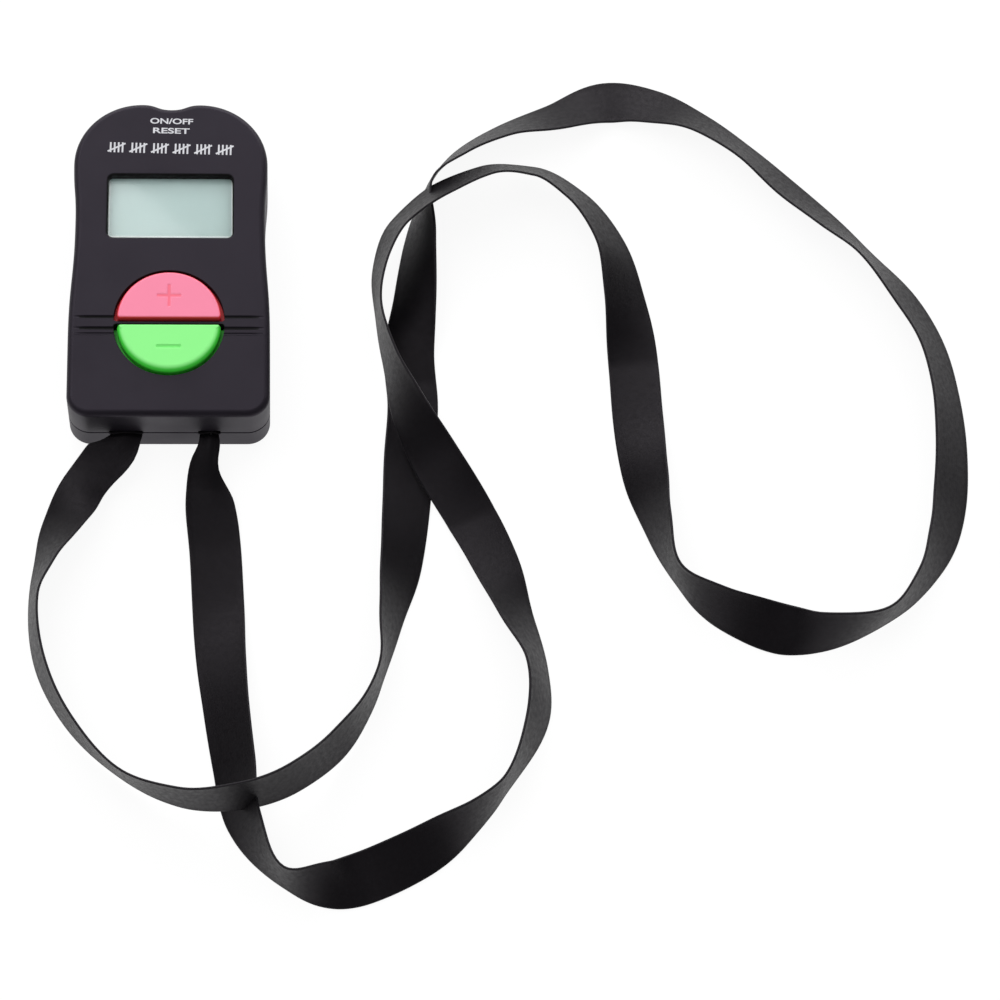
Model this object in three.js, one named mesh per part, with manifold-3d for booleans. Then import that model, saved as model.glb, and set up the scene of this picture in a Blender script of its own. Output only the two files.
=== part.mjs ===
// Digital tally counter on a neck ribbon: a three.js model in millimetres, +Z up.
// The counter lies on its back on the plane z = 0, its centre is at x = y = 0,
// and +Y points to the end with the on, off and reset button.
import * as THREE from 'three'
import { mergeVertices } from 'three/addons/utils/BufferGeometryUtils.js'
import Module from 'manifold-3d'

const wasm = await Module()
wasm.setup()

// Case
const caseLength = 67.3
const baseWidth = 39
const waistWidth = 37
const lobeWidth = 38
const caseHeight = 15
const partingHeight = 6.3
const wall = 1.6
const edgeRound = 1.25
const backEdgeRound = 0.7
const cornerRadius = 4.4
const straightSide = 16
const waistFromEnd = 25
const lobeFromEnd = 13.3
const dentWidth = 11.4
const dentDepth = 1.12
const seam = 0.14
const lipHeight = 1.1
const lipThickness = 0.8

// Gaps between pieces
const clear = 0.3
const slideClear = 0.35
const filmGap = 0.05
const pressGap = 0.1

// Display
const windowWidth = 24.3
const windowHeight = 13.5
const windowFromEnd = 22.7
const windowCorner = 0.8
const windowChamfer = 0.5
const glassMargin = 0.6
const lensThickness = 1
const filmThickness = 0.2
const plateThickness = 1.1
const contactLedge = 2
const stripWidth = 1.4
const holderWall = 1.4

// Count buttons
const buttonY = -14.2
const buttonRadius = 10.25
const buttonShift = 0.4
const buttonHalfGap = 0.75
const buttonProud = 0.9
const buttonRound = 0.6
const buttonClear = 0.47
const buttonCorner = 1
const buttonWall = 1.3
const buttonTravel = 0.5
const flangeReach = 1
const flangeThickness = 1
const markY = 5.4
const markLength = 4.7
const markStroke = 0.7
const markDepth = 0.35
const stemRadius = 1.5

// Ribs and grooves across the face, as distance from the button centre line
const grooves = [
  { offset: 1.2, width: 0.5, depth: 0.5 },
  { offset: 2.45, width: 0.4, depth: 0.22 }
]

// Reset button in the end wall
const resetWidth = 9.4
const resetHeight = 4.6
const resetProud = 2
const resetRound = 1.1
const resetExponent = 2.6
const resetFlangeReach = 0.7
const resetFlangeThickness = 0.8
const resetTravel = 0.5

// Circuit board and what it carries
const boardThickness = 1
const boardLift = 2.9
const boardMargin = 1.4
const switchSize = 6
const switchHeight = 3.5
const plungerRadius = 1.7
const plungerProud = 1
const plungerDepth = 0.8
const sideSwitchWidth = 4
const sideSwitchLength = 3.2
const sidePlungerRadius = 1
const chipRadius = 4.5
const chipHeight = 1.3
const crystalRadius = 1
const crystalLength = 6

// Button cell and its contacts
const cellRadius = 5.8
const cellHeight = 5.4
const cellRim = 0.9
const cellStep = 0.4
const cellSideGap = 0.85
const contactThickness = 0.25
const contactWidth = 3
const cradleWall = 0.9
const cradleDepth = 2.4

// Screws
const postRadius = 1.9
const postInset = 4.3
const postBelowLobe = 3
const postBite = 0.3
const towerWall = 0.4
const caseScrewRadius = 0.85
const caseScrewHeadRadius = 1.6
const caseScrewHeadHeight = 1.2
const caseScrewSink = 0.5
const caseScrewLength = 8.4
const boardPostRadius = 1.6
const boardPostInset = 3.3
const boardPostGap = 1.3
const boardScrewRadius = 0.65
const boardScrewHeadRadius = 1.4
const boardScrewHeadHeight = 0.9
const boardScrewLength = 4.6
const screwClear = 0.2

// Neck ribbon
const ribbonWidth = 10
const ribbonThickness = 0.5
const ribbonStepsPerPoint = 2
const ribbonExitX = 8.1
const gatherLength = 10
const gatherShare = 0.5
const slotWidth = 6.6
const slotHeight = 2.2
const knotWidth = 7.6
const knotDepth = 3
const knotHeight = 3.2

// Shape of the case along Y, from its two ends
const sideStraightEnd = -caseLength / 2 + straightSide
const waistY = caseLength / 2 - waistFromEnd
const lobeY = caseLength / 2 - lobeFromEnd
const windowY = caseLength / 2 - windowFromEnd

// Levels along Z, from the back face up
const panelUnder = caseHeight - wall
const boardBottom = wall + boardLift
const boardTop = boardBottom + boardThickness
const lensTop = panelUnder
const filmTop = lensTop - lensThickness - clear / 2
const glassTop = filmTop - filmThickness - filmGap
const rearPlateTop = glassTop - plateThickness
const glassBottom = rearPlateTop - plateThickness
const reflectorTop = glassBottom - filmGap
const flangeTop = panelUnder - clear
const flangeBottom = flangeTop - flangeThickness
const buttonTop = caseHeight + buttonProud
const switchBottom = boardTop
const switchTop = switchBottom + switchHeight
const plungerTop = switchTop + plungerProud
const resetZ = caseHeight / 2
const cellTop = panelUnder - clear - contactThickness
const cellBottom = cellTop - cellHeight
const caseScrewTop = caseScrewSink + caseScrewHeadHeight + caseScrewLength

// Places along X and Y
const glassWidth = windowWidth + 2 * glassMargin
const glassYLow = windowY - windowHeight / 2 - glassMargin
const glassYHigh = windowY + windowHeight / 2 + glassMargin
const buttonOpening = buttonRadius + buttonClear
const flangeRadius = buttonOpening + flangeReach
const dentWallY = caseLength / 2 - dentDepth
const resetFlangeTop = dentWallY - wall - clear
const resetFlangeBottom = resetFlangeTop - resetFlangeThickness
const sidePlungerTip = resetFlangeBottom - pressGap
const sideSwitchFront = sidePlungerTip - plungerProud
const sideSwitchBack = sideSwitchFront - sideSwitchLength
const cellX = -(sideSwitchWidth / 2 + contactThickness + clear + cellSideGap + cellRadius)
const cellY = glassYHigh + clear + cellRadius
const boardEdge = wall + boardMargin
const boardYLow = -caseLength / 2 + wall + lipThickness + knotDepth + 3 * clear
const boardYHigh = resetFlangeBottom - resetTravel - clear
const chipY = (glassYLow + contactLedge + glassYHigh) / 2
const casePosts = [
  [baseWidth / 2 - postInset, -caseLength / 2 + postInset],
  [lobeWidth / 2 - wall - postRadius + postBite, lobeY - postBelowLobe]
].flatMap(([x, y]) => [[-x, y], [x, y]])
const boardPosts = [
  [waistWidth / 2 - wall - boardPostInset, glassYLow - boardPostGap - boardPostRadius],
  [baseWidth / 2 - boardEdge - boardPostInset, boardYLow + boardPostInset]
].flatMap(([x, y]) => [[-x, y], [x, y]])

// Materials, with the colours of the photograph
const finish = (color, roughness, metalness = 0) =>
  new THREE.MeshStandardMaterial({ color, roughness, metalness })
const clearFinish = (color, roughness, opacity) =>
  new THREE.MeshStandardMaterial({ color, roughness, opacity, transparent: true })
const materials = {
  shell: finish(0x2f2d31, 0.6),
  lens: clearFinish(0xe8f0ee, 0.05, 0.35),
  glass: clearFinish(0xc8d6cf, 0.1, 0.5),
  film: finish(0xbacfcc, 0.35),
  holder: finish(0xe6e6e2, 0.6),
  elastomer: finish(0xd98fa6, 0.8),
  board: finish(0x1f6b3a, 0.5),
  chip: finish(0x101012, 0.35),
  ceramic: finish(0xb89a72, 0.5),
  plus: finish(0xff5c80, 0.5),
  minus: finish(0x55e052, 0.5),
  reset: finish(0x3fa9e0, 0.5),
  plunger: finish(0x1a1a1c, 0.6),
  switchCase: finish(0x222225, 0.6),
  steel: finish(0xb9bcc0, 0.35, 1),
  ribbon: finish(0x161519, 0.55)
}

// From a three.js geometry to a solid for cutting and joining, and back
function toSolid(geometry) {
  geometry.deleteAttribute('normal')
  geometry.deleteAttribute('uv')
  const merged = mergeVertices(geometry, 1e-4)
  const vertProperties = new Float32Array(merged.attributes.position.array)
  const triVerts = new Uint32Array(merged.index.array)
  return new wasm.Manifold(new wasm.Mesh({ numProp: 3, vertProperties, triVerts }))
}

function toGeometry(solid) {
  const mesh = solid.getMesh()
  const geometry = new THREE.BufferGeometry()
  geometry.setAttribute('position', new THREE.BufferAttribute(mesh.vertProperties, 3))
  geometry.setIndex(new THREE.BufferAttribute(mesh.triVerts, 1))
  geometry.computeVertexNormals()
  return geometry
}

const join = (...solids) => solids.reduce((all, solid) => all.add(solid))

// Simple solids, given by the planes that bound them
function box([x0, x1], [y0, y1], [z0, z1]) {
  const geometry = new THREE.BoxGeometry(x1 - x0, y1 - y0, z1 - z0)
  return toSolid(geometry.translate((x0 + x1) / 2, (y0 + y1) / 2, (z0 + z1) / 2))
}

function disc(x, y, radius, [z0, z1], sides = 16) {
  const geometry = new THREE.CylinderGeometry(radius, radius, z1 - z0, sides)
  return toSolid(geometry.rotateX(Math.PI / 2).translate(x, y, (z0 + z1) / 2))
}

function rod(radius, x, z, [y0, y1], sides = 16) {
  const geometry = new THREE.CylinderGeometry(radius, radius, y1 - y0, sides)
  return toSolid(geometry.translate(x, (y0 + y1) / 2, z))
}

function slab(shape, [z0, z1], curveSegments = 5) {
  const geometry = new THREE.ExtrudeGeometry(shape, { depth: z1 - z0, bevelEnabled: false, curveSegments })
  return toSolid(geometry.translate(0, 0, z0))
}

// A slab whose two rims are rounded without making its outline larger
function softSlab(shape, [z0, z1], radius, bevelSegments = 3, curveSegments = 5) {
  const geometry = new THREE.ExtrudeGeometry(shape, {
    depth: z1 - z0 - 2 * radius,
    bevelThickness: radius,
    bevelSize: radius,
    bevelOffset: -radius,
    bevelSegments,
    curveSegments
  })
  return toSolid(geometry.translate(0, 0, z0 + radius))
}

// A slab that widens from its lower plane, to chamfer the mouth of an opening
function flare(shape, z0, rise) {
  const geometry = new THREE.ExtrudeGeometry(shape, {
    depth: rise,
    bevelThickness: rise,
    bevelSize: rise,
    bevelSegments: 1
  })
  return toSolid(geometry.translate(0, 0, z0 + rise))
}

function roundedRectangle(width, height, radius, x = 0, y = 0) {
  const right = x + width / 2 - radius
  const left = x - width / 2 + radius
  const top = y + height / 2 - radius
  const bottom = y - height / 2 + radius
  const shape = new THREE.Shape()
  shape.absarc(right, top, radius, 0, Math.PI / 2)
  shape.absarc(left, top, radius, Math.PI / 2, Math.PI)
  shape.absarc(left, bottom, radius, Math.PI, Math.PI * 1.5)
  shape.absarc(right, bottom, radius, Math.PI * 1.5, Math.PI * 2)
  return new THREE.Shape(shape.getPoints(2))
}

// The case seen from the front: straight base, slight waist, two lobes with a dent between them
function caseOutline(inset = 0) {
  const top = caseLength / 2 - inset
  const bottom = -caseLength / 2 + inset
  const base = baseWidth / 2 - inset
  const waist = waistWidth / 2 - inset
  const lobe = lobeWidth / 2 - inset
  const corner = Math.max(cornerRadius - inset, 0.5)
  const peak = dentWidth / 2
  const dip = top - dentDepth
  const lowPull = (waistY - sideStraightEnd) / 2
  const highPull = (lobeY - waistY) / 2
  const shape = new THREE.Shape()
  shape.moveTo(-base + corner, bottom)
  shape.lineTo(base - corner, bottom)
  shape.absarc(base - corner, bottom + corner, corner, -Math.PI / 2, 0)
  shape.lineTo(base, sideStraightEnd)
  shape.bezierCurveTo(base, sideStraightEnd + lowPull, waist, waistY - lowPull, waist, waistY)
  shape.bezierCurveTo(waist, waistY + highPull, lobe, lobeY - highPull, lobe, lobeY)
  shape.absellipse(peak, lobeY, lobe - peak, top - lobeY, 0, Math.PI / 2)
  shape.bezierCurveTo(peak / 2, top, peak / 2, dip, 0, dip)
  shape.bezierCurveTo(-peak / 2, dip, -peak / 2, top, -peak, top)
  shape.absellipse(-peak, lobeY, lobe - peak, top - lobeY, Math.PI / 2, Math.PI)
  shape.bezierCurveTo(-lobe, lobeY - highPull, -waist, waistY + highPull, -waist, waistY)
  shape.bezierCurveTo(-waist, waistY - lowPull, -base, sideStraightEnd + lowPull, -base, sideStraightEnd)
  shape.lineTo(-base, bottom + corner)
  shape.absarc(-base + corner, bottom + corner, corner, Math.PI, Math.PI * 1.5)
  return shape
}

// The part of a disc above a line, with round corners; side -1 turns it to the other half. The
// middle of the disc lies above the middle of the pair, so the pair is a little longer than wide.
function halfDisc(radius, lift, corner, side) {
  const cornerY = lift + corner
  const rise = cornerY - buttonShift
  const cornerX = Math.sqrt((radius - corner) ** 2 - rise ** 2)
  const reach = Math.atan2(rise, cornerX)
  const points = []
  const addArc = (x, y, arcRadius, from, to, steps) => {
    for (let i = 0; i <= steps; i++) {
      const angle = from + (to - from) * (i / steps)
      const arcX = x + arcRadius * Math.cos(angle)
      const arcY = y + arcRadius * Math.sin(angle)
      points.push(new THREE.Vector2(side * arcX, buttonY + side * arcY))
    }
  }
  addArc(0, buttonShift, radius, reach, Math.PI - reach, 20)
  addArc(-cornerX, cornerY, corner, Math.PI - reach + 0.4, Math.PI * 1.5, 3)
  addArc(cornerX, cornerY, corner, Math.PI * 1.5, Math.PI * 2 + reach - 0.4, 3)
  return new THREE.Shape(points)
}

// The oval of the reset button, from the formula of a superellipse
function resetOval(grow) {
  const halfWidth = resetWidth / 2 + grow
  const halfHeight = resetHeight / 2 + grow
  const bend = (value) => Math.sign(value) * Math.abs(value) ** (2 / resetExponent)
  const points = []
  for (let i = 0; i < 32; i++) {
    const angle = (i / 32) * Math.PI * 2
    points.push(new THREE.Vector2(halfWidth * bend(Math.cos(angle)), halfHeight * bend(Math.sin(angle))))
  }
  return new THREE.Shape(points)
}

// Turns a slab that was built along Z so that it runs along Y, at the height of the reset button
function alongY(solid) {
  return solid.rotate([-90, 0, 0]).mirror([0, 0, 1]).translate([0, 0, resetZ])
}

const resetHole = alongY(slab(resetOval(slideClear), [dentWallY - wall - 2, dentWallY + 3]))
const body = join(
  softSlab(caseOutline(), [0, caseHeight], edgeRound),
  softSlab(caseOutline(), [0, caseHeight / 2], backEdgeRound)
)
const wide = [-caseLength, caseLength]
const slots = [-1, 1].map((side) => box(
  [side * ribbonExitX - slotWidth / 2, side * ribbonExitX + slotWidth / 2],
  [-caseLength / 2 - 1, -caseLength / 2 + wall + lipThickness + 2 * clear],
  [partingHeight - slotHeight / 2, partingHeight + slotHeight / 2]
))

function buildFrontCover() {
  const bottom = partingHeight + seam / 2
  const window = roundedRectangle(windowWidth, windowHeight, windowCorner, 0, windowY)
  let cover = body.intersect(box(wide, wide, [bottom, caseHeight + 1]))
  cover = cover.subtract(slab(caseOutline(wall), [0, panelUnder]))
  for (const [x, y] of casePosts) {
    cover = cover.add(disc(x, y, postRadius, [bottom, panelUnder + wall / 2]))
  }
  for (const [x, y] of boardPosts) {
    cover = cover.add(disc(x, y, boardPostRadius, [boardTop, panelUnder + wall / 2]))
  }
  cover = cover.add(buildCradle())
  for (const [x, y] of casePosts) {
    cover = cover.subtract(disc(x, y, caseScrewRadius + screwClear, [0, caseScrewTop + clear], 12))
  }
  for (const [x, y] of boardPosts) {
    const pilot = [0, boardBottom + boardScrewLength + clear]
    cover = cover.subtract(disc(x, y, boardScrewRadius + screwClear, pilot, 12))
  }
  cover = cover.subtract(slab(window, [panelUnder - 1, caseHeight + 1]))
  cover = cover.subtract(flare(window, caseHeight - windowChamfer, windowChamfer))
  for (const side of [1, -1]) {
    const opening = halfDisc(buttonOpening, buttonHalfGap - buttonClear, buttonCorner, side)
    cover = cover.subtract(slab(opening, [panelUnder - 1, caseHeight + 1]))
  }
  for (const { offset, width, depth } of grooves) {
    for (const y of [buttonY - offset, buttonY + offset]) {
      const groove = box(wide, [y - width / 2, y + width / 2], [caseHeight - depth, caseHeight + 1])
      cover = cover.subtract(groove)
    }
  }
  return cover.subtract(resetHole).subtract(join(...slots))
}

// A short curved wall under the face that keeps the button cell from sliding
function buildCradle() {
  const low = panelUnder - cradleDepth
  const inner = cellRadius + clear
  const ring = disc(cellX, cellY, inner + cradleWall, [low, panelUnder + wall / 2], 32)
  const hollow = disc(cellX, cellY, inner, [low - 1, panelUnder], 32)
  const reach = [cellX - inner - 2, cellX + cellRadius * 0.35]
  const keep = box(reach, [glassYHigh + 2 * clear, cellY + inner + 2], [low - 1, caseHeight - wall / 2])
  return ring.subtract(hollow).intersect(keep).intersect(slab(caseOutline(wall / 2), [0, caseHeight]))
}

function buildBackCover() {
  const top = partingHeight - seam / 2
  const lipTop = partingHeight + lipHeight
  let cover = body.intersect(box(wide, wide, [-1, top]))
  cover = cover.subtract(slab(caseOutline(wall), [wall, caseHeight]))
  const foot = slab(caseOutline(wall / 2), [top - lipHeight, top])
  const tongue = slab(caseOutline(wall + clear), [top - lipHeight, lipTop])
  const core = slab(caseOutline(wall + clear + lipThickness), [0, caseHeight])
  let lip = join(foot, tongue).subtract(core)
  for (const [x, y] of casePosts) {
    lip = lip.subtract(disc(x, y, postRadius + clear, [top, caseHeight]))
  }
  lip = lip.subtract(disc(cellX, cellY, cellRadius + clear, [cellBottom - clear, caseHeight]))
  cover = cover.add(lip)
  for (const [x, y] of casePosts) {
    cover = cover.add(disc(x, y, postRadius + towerWall, [wall / 2, top]))
  }
  for (const [x, y] of casePosts) {
    cover = cover.subtract(disc(x, y, caseScrewHeadRadius + clear, [-1, caseScrewSink + caseScrewHeadHeight]))
    cover = cover.subtract(disc(x, y, caseScrewRadius + screwClear, [0, caseHeight], 12))
  }
  const doorway = resetWidth / 2 + resetFlangeReach + clear
  const resetRoom = box([-doorway, doorway], [resetFlangeBottom - resetTravel - clear, dentWallY - wall],
    [wall, caseHeight])
  return cover.subtract(resetHole).subtract(resetRoom).subtract(join(...slots))
}

// The clear window, glued under the face
function buildLens() {
  const height = glassYHigh - glassYLow
  const outline = roundedRectangle(glassWidth, height, windowCorner / 2, 0, windowY)
  return slab(outline, [lensTop - lensThickness, lensTop])
}

// The liquid crystal cell: the front plate reaches past the rear one, which leaves a contact ledge
function buildGlass() {
  const x = [-glassWidth / 2, glassWidth / 2]
  const frontPlate = box(x, [glassYLow, glassYHigh], [rearPlateTop, glassTop])
  const rearPlate = box(x, [glassYLow + contactLedge, glassYHigh],
    [glassBottom, rearPlateTop + plateThickness / 2])
  return frontPlate.add(rearPlate)
}

function buildFilm(z1, yLow) {
  const x = [-glassWidth / 2 + clear, glassWidth / 2 - clear]
  return box(x, [yLow, glassYHigh - clear], [z1 - filmThickness, z1])
}

// The frame that stands on the board and carries the glass
function buildHolder() {
  const x = glassWidth / 2 - clear
  const low = glassYLow + contactLedge + clear
  const high = glassYHigh - clear
  const z = [boardTop, reflectorTop - filmThickness]
  const outer = box([-x, x], [low, high], z)
  const inner = box([-x + holderWall, x - holderWall], [low + holderWall, high - holderWall], [0, caseHeight])
  return outer.subtract(inner)
}

// The striped elastomer strip that joins the board to the contact ledge
function buildStrip() {
  const middle = glassYLow + contactLedge / 2
  return box([-glassWidth / 2 + 2, glassWidth / 2 - 2], [middle - stripWidth / 2, middle + stripWidth / 2],
    [boardTop, rearPlateTop])
}

function buildBoard() {
  const outline = slab(caseOutline(boardEdge), [boardBottom, boardTop])
  let board = outline.intersect(box(wide, [boardYLow, boardYHigh], [0, caseHeight]))
  for (const [x, y] of casePosts) {
    const side = Math.sign(x)
    const notch = postRadius + towerWall + clear
    const outward = [Math.min(x, x + 3 * side * notch), Math.max(x, x + 3 * side * notch)]
    const outside = box(outward, [y - notch, y + notch], [0, caseHeight])
    board = board.subtract(disc(x, y, notch, [0, caseHeight])).subtract(outside)
  }
  for (const [x, y] of boardPosts) {
    board = board.subtract(disc(x, y, boardScrewRadius + screwClear, [0, caseHeight], 12))
  }
  return board
}

// A push switch that stands on the board, with a bore for its plunger
function buildSwitch(y) {
  const half = switchSize / 2
  const housing = box([-half, half], [y - half, y + half], [switchBottom, switchTop])
  const boreLow = switchTop - plungerDepth - buttonTravel - pressGap
  return housing.subtract(disc(0, y, plungerRadius + screwClear, [boreLow, caseHeight]))
}

function buildPlunger(y) {
  return disc(0, y, plungerRadius, [switchTop - plungerDepth, plungerTop])
}

function buildSideSwitch() {
  const half = sideSwitchWidth / 2
  const housing = box([-half, half], [sideSwitchBack, sideSwitchFront], [switchBottom, resetZ + half])
  const bore = rod(sidePlungerRadius + screwClear, 0, resetZ,
    [sideSwitchFront - plungerDepth - resetTravel - pressGap, caseLength])
  return housing.subtract(bore)
}

function buildSidePlunger() {
  return rod(sidePlungerRadius, 0, resetZ, [sideSwitchFront - plungerDepth, sidePlungerTip])
}

// A count button: hollow cap, flange that keeps it in the case, stem over its switch, sunken mark
function buildCountButton(side, markBars) {
  const outline = (radius, grow) => halfDisc(radius, buttonHalfGap + grow, buttonCorner, side)
  const y = buttonY + side * markY
  const cap = softSlab(outline(buttonRadius, 0), [flangeBottom - 2, buttonTop], buttonRound)
    .intersect(box(wide, wide, [flangeBottom, buttonTop + 1]))
  const flange = slab(outline(flangeRadius - clear, 0), [flangeBottom, flangeTop])
  const hollow = slab(outline(buttonRadius - buttonWall, buttonWall), [0, buttonTop - buttonWall])
  const stem = disc(0, y, stemRadius, [plungerTop + pressGap, buttonTop - buttonWall / 2])
  let button = join(cap, flange).subtract(hollow).add(stem)
  for (const [width, height] of markBars) {
    const depth = [buttonTop - markDepth, buttonTop + 1]
    button = button.subtract(box([-width / 2, width / 2], [y - height / 2, y + height / 2], depth))
  }
  return button
}

function buildResetButton() {
  const tip = dentWallY + resetProud
  const cap = softSlab(resetOval(0), [resetFlangeBottom - 3, tip], resetRound)
    .intersect(box(wide, wide, [resetFlangeBottom, tip + 1]))
  const flange = slab(resetOval(resetFlangeReach), [resetFlangeBottom, resetFlangeTop])
  return alongY(join(cap, flange))
}

// The epoxy drop over the counter chip
function buildChip() {
  const low = boardTop
  const profile = [new THREE.Vector2(0, 0), new THREE.Vector2(chipRadius, 0)]
  for (let i = 1; i <= 4; i++) {
    const angle = (i / 4) * (Math.PI / 2)
    profile.push(new THREE.Vector2(chipRadius * Math.cos(angle) ** 0.6, chipHeight * Math.sin(angle)))
  }
  profile[profile.length - 1].x = 0
  const geometry = new THREE.LatheGeometry(profile, 20)
  return toSolid(geometry.rotateX(Math.PI / 2).translate(0, chipY, low))
}

function buildCrystal() {
  const y = glassYLow - 1.2 - crystalRadius
  const can = new THREE.CylinderGeometry(crystalRadius, crystalRadius, crystalLength, 16)
  return toSolid(can.rotateZ(Math.PI / 2).translate(0, y, boardTop + crystalRadius))
}

function buildChipPart(x) {
  const y = glassYLow - 1.2 - crystalRadius
  return box([x - 1, x + 1], [y - 0.6, y + 0.6], [boardTop, boardTop + 0.8])
}

// The button cell: a can with a smaller, raised negative cap on the side of the board
function buildCell() {
  const can = disc(cellX, cellY, cellRadius, [cellBottom + cellStep, cellTop], 32)
  const cap = disc(cellX, cellY, cellRadius - cellRim, [cellBottom, cellTop - 1], 32)
  return can.add(cap)
}

// The contact on the can: a foot on the board, an upright beside the cell and a finger over it
function buildPositiveContact() {
  const middle = cellY - 2
  const y = [middle - contactWidth / 2, middle + contactWidth / 2]
  const side = cellX + cellRadius + clear
  const upright = box([side, side + contactThickness], y, [boardTop, cellTop + contactThickness])
  const foot = box([side, side + 2.6], y, [boardTop, boardTop + contactThickness])
  const finger = box([side - 3.5, side + contactThickness], y, [cellTop, cellTop + contactThickness])
  return join(upright, foot, finger)
}

// The contact on the cap: a leaf that rises from the board to the cell
function buildNegativeContact() {
  const low = boardTop
  const high = cellBottom
  const left = cellX - cellRadius + 1.2
  const rise = Math.max(high - low - contactThickness, 0.05)
  const shape = new THREE.Shape()
  shape.moveTo(left, 0)
  shape.lineTo(left + 3, 0)
  shape.lineTo(cellX, rise)
  shape.lineTo(cellX + 2, rise)
  shape.lineTo(cellX + 2, rise + contactThickness)
  shape.lineTo(cellX, rise + contactThickness)
  shape.lineTo(left + 3, contactThickness)
  shape.lineTo(left, contactThickness)
  const strip = new THREE.ExtrudeGeometry(shape, { depth: contactWidth, bevelEnabled: false })
  return toSolid(strip.rotateX(Math.PI / 2).translate(0, cellY + contactWidth / 2, low))
}

// A pan head screw that points up, with a cross recess in its head
function buildScrew([x, y], z, radius, length, headRadius, headHeight) {
  const recess = headRadius * 0.6
  const slot = headRadius * 0.14
  const head = disc(x, y, headRadius, [z, z + headHeight])
  const shank = disc(x, y, radius, [z + headHeight / 2, z + headHeight + length], 10)
  const cross = join(
    box([x - recess, x + recess], [y - slot, y + slot], [z - 1, z + headHeight * 0.5]),
    box([x - slot, x + slot], [y - recess, y + recess], [z - 1, z + headHeight * 0.5])
  )
  return join(head, shank).subtract(cross)
}

// The end of the ribbon: folded where it passes the slot, knotted behind the wall
function buildRibbonEnd(side) {
  const x = side * ribbonExitX
  const wallInside = -caseLength / 2 + wall
  const fold = box(
    [x - slotWidth / 2 + clear, x + slotWidth / 2 - clear],
    [-caseLength / 2, wallInside + knotDepth / 2],
    [partingHeight - slotHeight / 2 + clear, partingHeight + slotHeight / 2 - clear]
  )
  const outline = roundedRectangle(knotWidth, knotHeight, knotHeight * 0.35)
  const knotBack = wallInside + lipThickness + 2 * clear
  const knot = softSlab(outline, [knotBack, knotBack + knotDepth], 0.6, 1)
    .rotate([-90, 0, 0]).mirror([0, 0, 1]).translate([x, 0, partingHeight])
  return fold.add(knot)
}

// The ribbon's route from the right slot to the left one, chosen by hand over the photograph.
// Each point is [x, y, lean, lift]: lean is the tilt of the ribbon's width in degrees, positive
// with the left edge up, and lift is the height of its low edge.
const ribbonRoute = [
  [8.1, -33.95, 0, 5.95], [8, -42.1, 7, 1.2], [9, -58.4, 2, 0], [14.6, -108.7, 17, 0],
  [19.1, -119, 71, 0], [30.1, -124, 52, 0], [46.6, -117.3, 20, 0], [63.9, -104.9, 81, 0],
  [71.1, -86.2, 63, 0], [68, -71.4, 55, 0], [61.8, -55.6, 11, 0.4], [49.5, -30.9, -35, 1.6],
  [41.4, -8, -82, 0.8], [42, 8.3, -72, 2.6], [56.6, 20.9, -61, 7.9], [71.8, 23.4, -72, 1.6],
  [88.2, 4.9, -42, 0], [92.4, -35.1, 5, 0], [96.3, -56.8, 72, 0], [105.2, -67.3, 68, 0],
  [120.7, -73.2, 51, 0], [135.7, -71.6, 82, 0], [148.2, -60.3, 67, 0], [153.6, -38.2, 49, 0],
  [151.3, -14.1, 55, 0], [138.7, 6.5, 64, 0], [116.1, 27.8, 51, 0], [90.6, 41.4, 15, 0],
  [68.9, 35.4, 41, 0], [54, 24.5, 33, 0], [49.7, 10.4, 50, 0], [47.5, -12.1, 23, 0],
  [46.4, -42.7, 2, 0], [43.5, -68, -57, 0], [32.8, -95.5, -77, 0], [14.6, -107.4, -76, 4.6],
  [-8.5, -102.4, -85, 0.3], [-25.2, -76.9, -82, 0], [-18.7, -47, -19, 0.8], [-8.1, -33.95, 0, 5.95]
]

// A path for ExtrudeGeometry whose frames lean as the route says. Its steps are spread evenly over
// the route's points, which lie closer together where the ribbon turns.
class RibbonPath extends THREE.Curve {
  constructor(route) {
    super()
    this.route = route
    this.plan = new THREE.CatmullRomCurve3(route.map(([x, y]) => new THREE.Vector3(x, y, 0)))
  }

  getUtoTmapping(u) {
    return u
  }

  // Blends one column of the route between its two nearest points
  blend(t, column) {
    const place = t * (this.route.length - 1)
    const before = Math.min(Math.floor(place), this.route.length - 2)
    const share = THREE.MathUtils.smoothstep(place - before, 0, 1)
    return THREE.MathUtils.lerp(this.route[before][column], this.route[before + 1][column], share)
  }

  lean(t) {
    return THREE.MathUtils.degToRad(this.blend(t, 2))
  }

  getPoint(t, target = new THREE.Vector3()) {
    this.plan.getPoint(t, target)
    const halfRise = (ribbonWidth / 2) * Math.abs(Math.sin(this.lean(t)))
    target.z = this.blend(t, 3) + halfRise + ribbonThickness / 2 + 0.05
    return target
  }

  // 0 at the slots, 1 where the ribbon has its full width
  spread(t) {
    const slot = this.getPoint(t < 0.5 ? 0 : 1)
    return THREE.MathUtils.smoothstep(this.getPoint(t).distanceTo(slot), 0, gatherLength)
  }

  // Near the slots the ribbon turns square to the end wall and is gathered to a smaller width
  computeFrenetFrames(steps) {
    const frames = { tangents: [], normals: [], binormals: [] }
    for (let i = 0; i <= steps; i++) {
      const t = i / steps
      const tangent = this.getTangent(t)
      const left = new THREE.Vector3(-tangent.y, tangent.x, 0).normalize()
      const square = new THREE.Vector3(Math.sign(left.x), 0, 0)
      const across = square.lerp(left, this.spread(t)).normalize().multiplyScalar(Math.cos(this.lean(t)))
      across.z = Math.sin(this.lean(t))
      const through = new THREE.Vector3().crossVectors(tangent, across).normalize()
      frames.tangents.push(tangent)
      frames.normals.push(across.multiplyScalar(THREE.MathUtils.lerp(gatherShare, 1, this.spread(t))))
      frames.binormals.push(through)
    }
    return frames
  }
}

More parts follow.
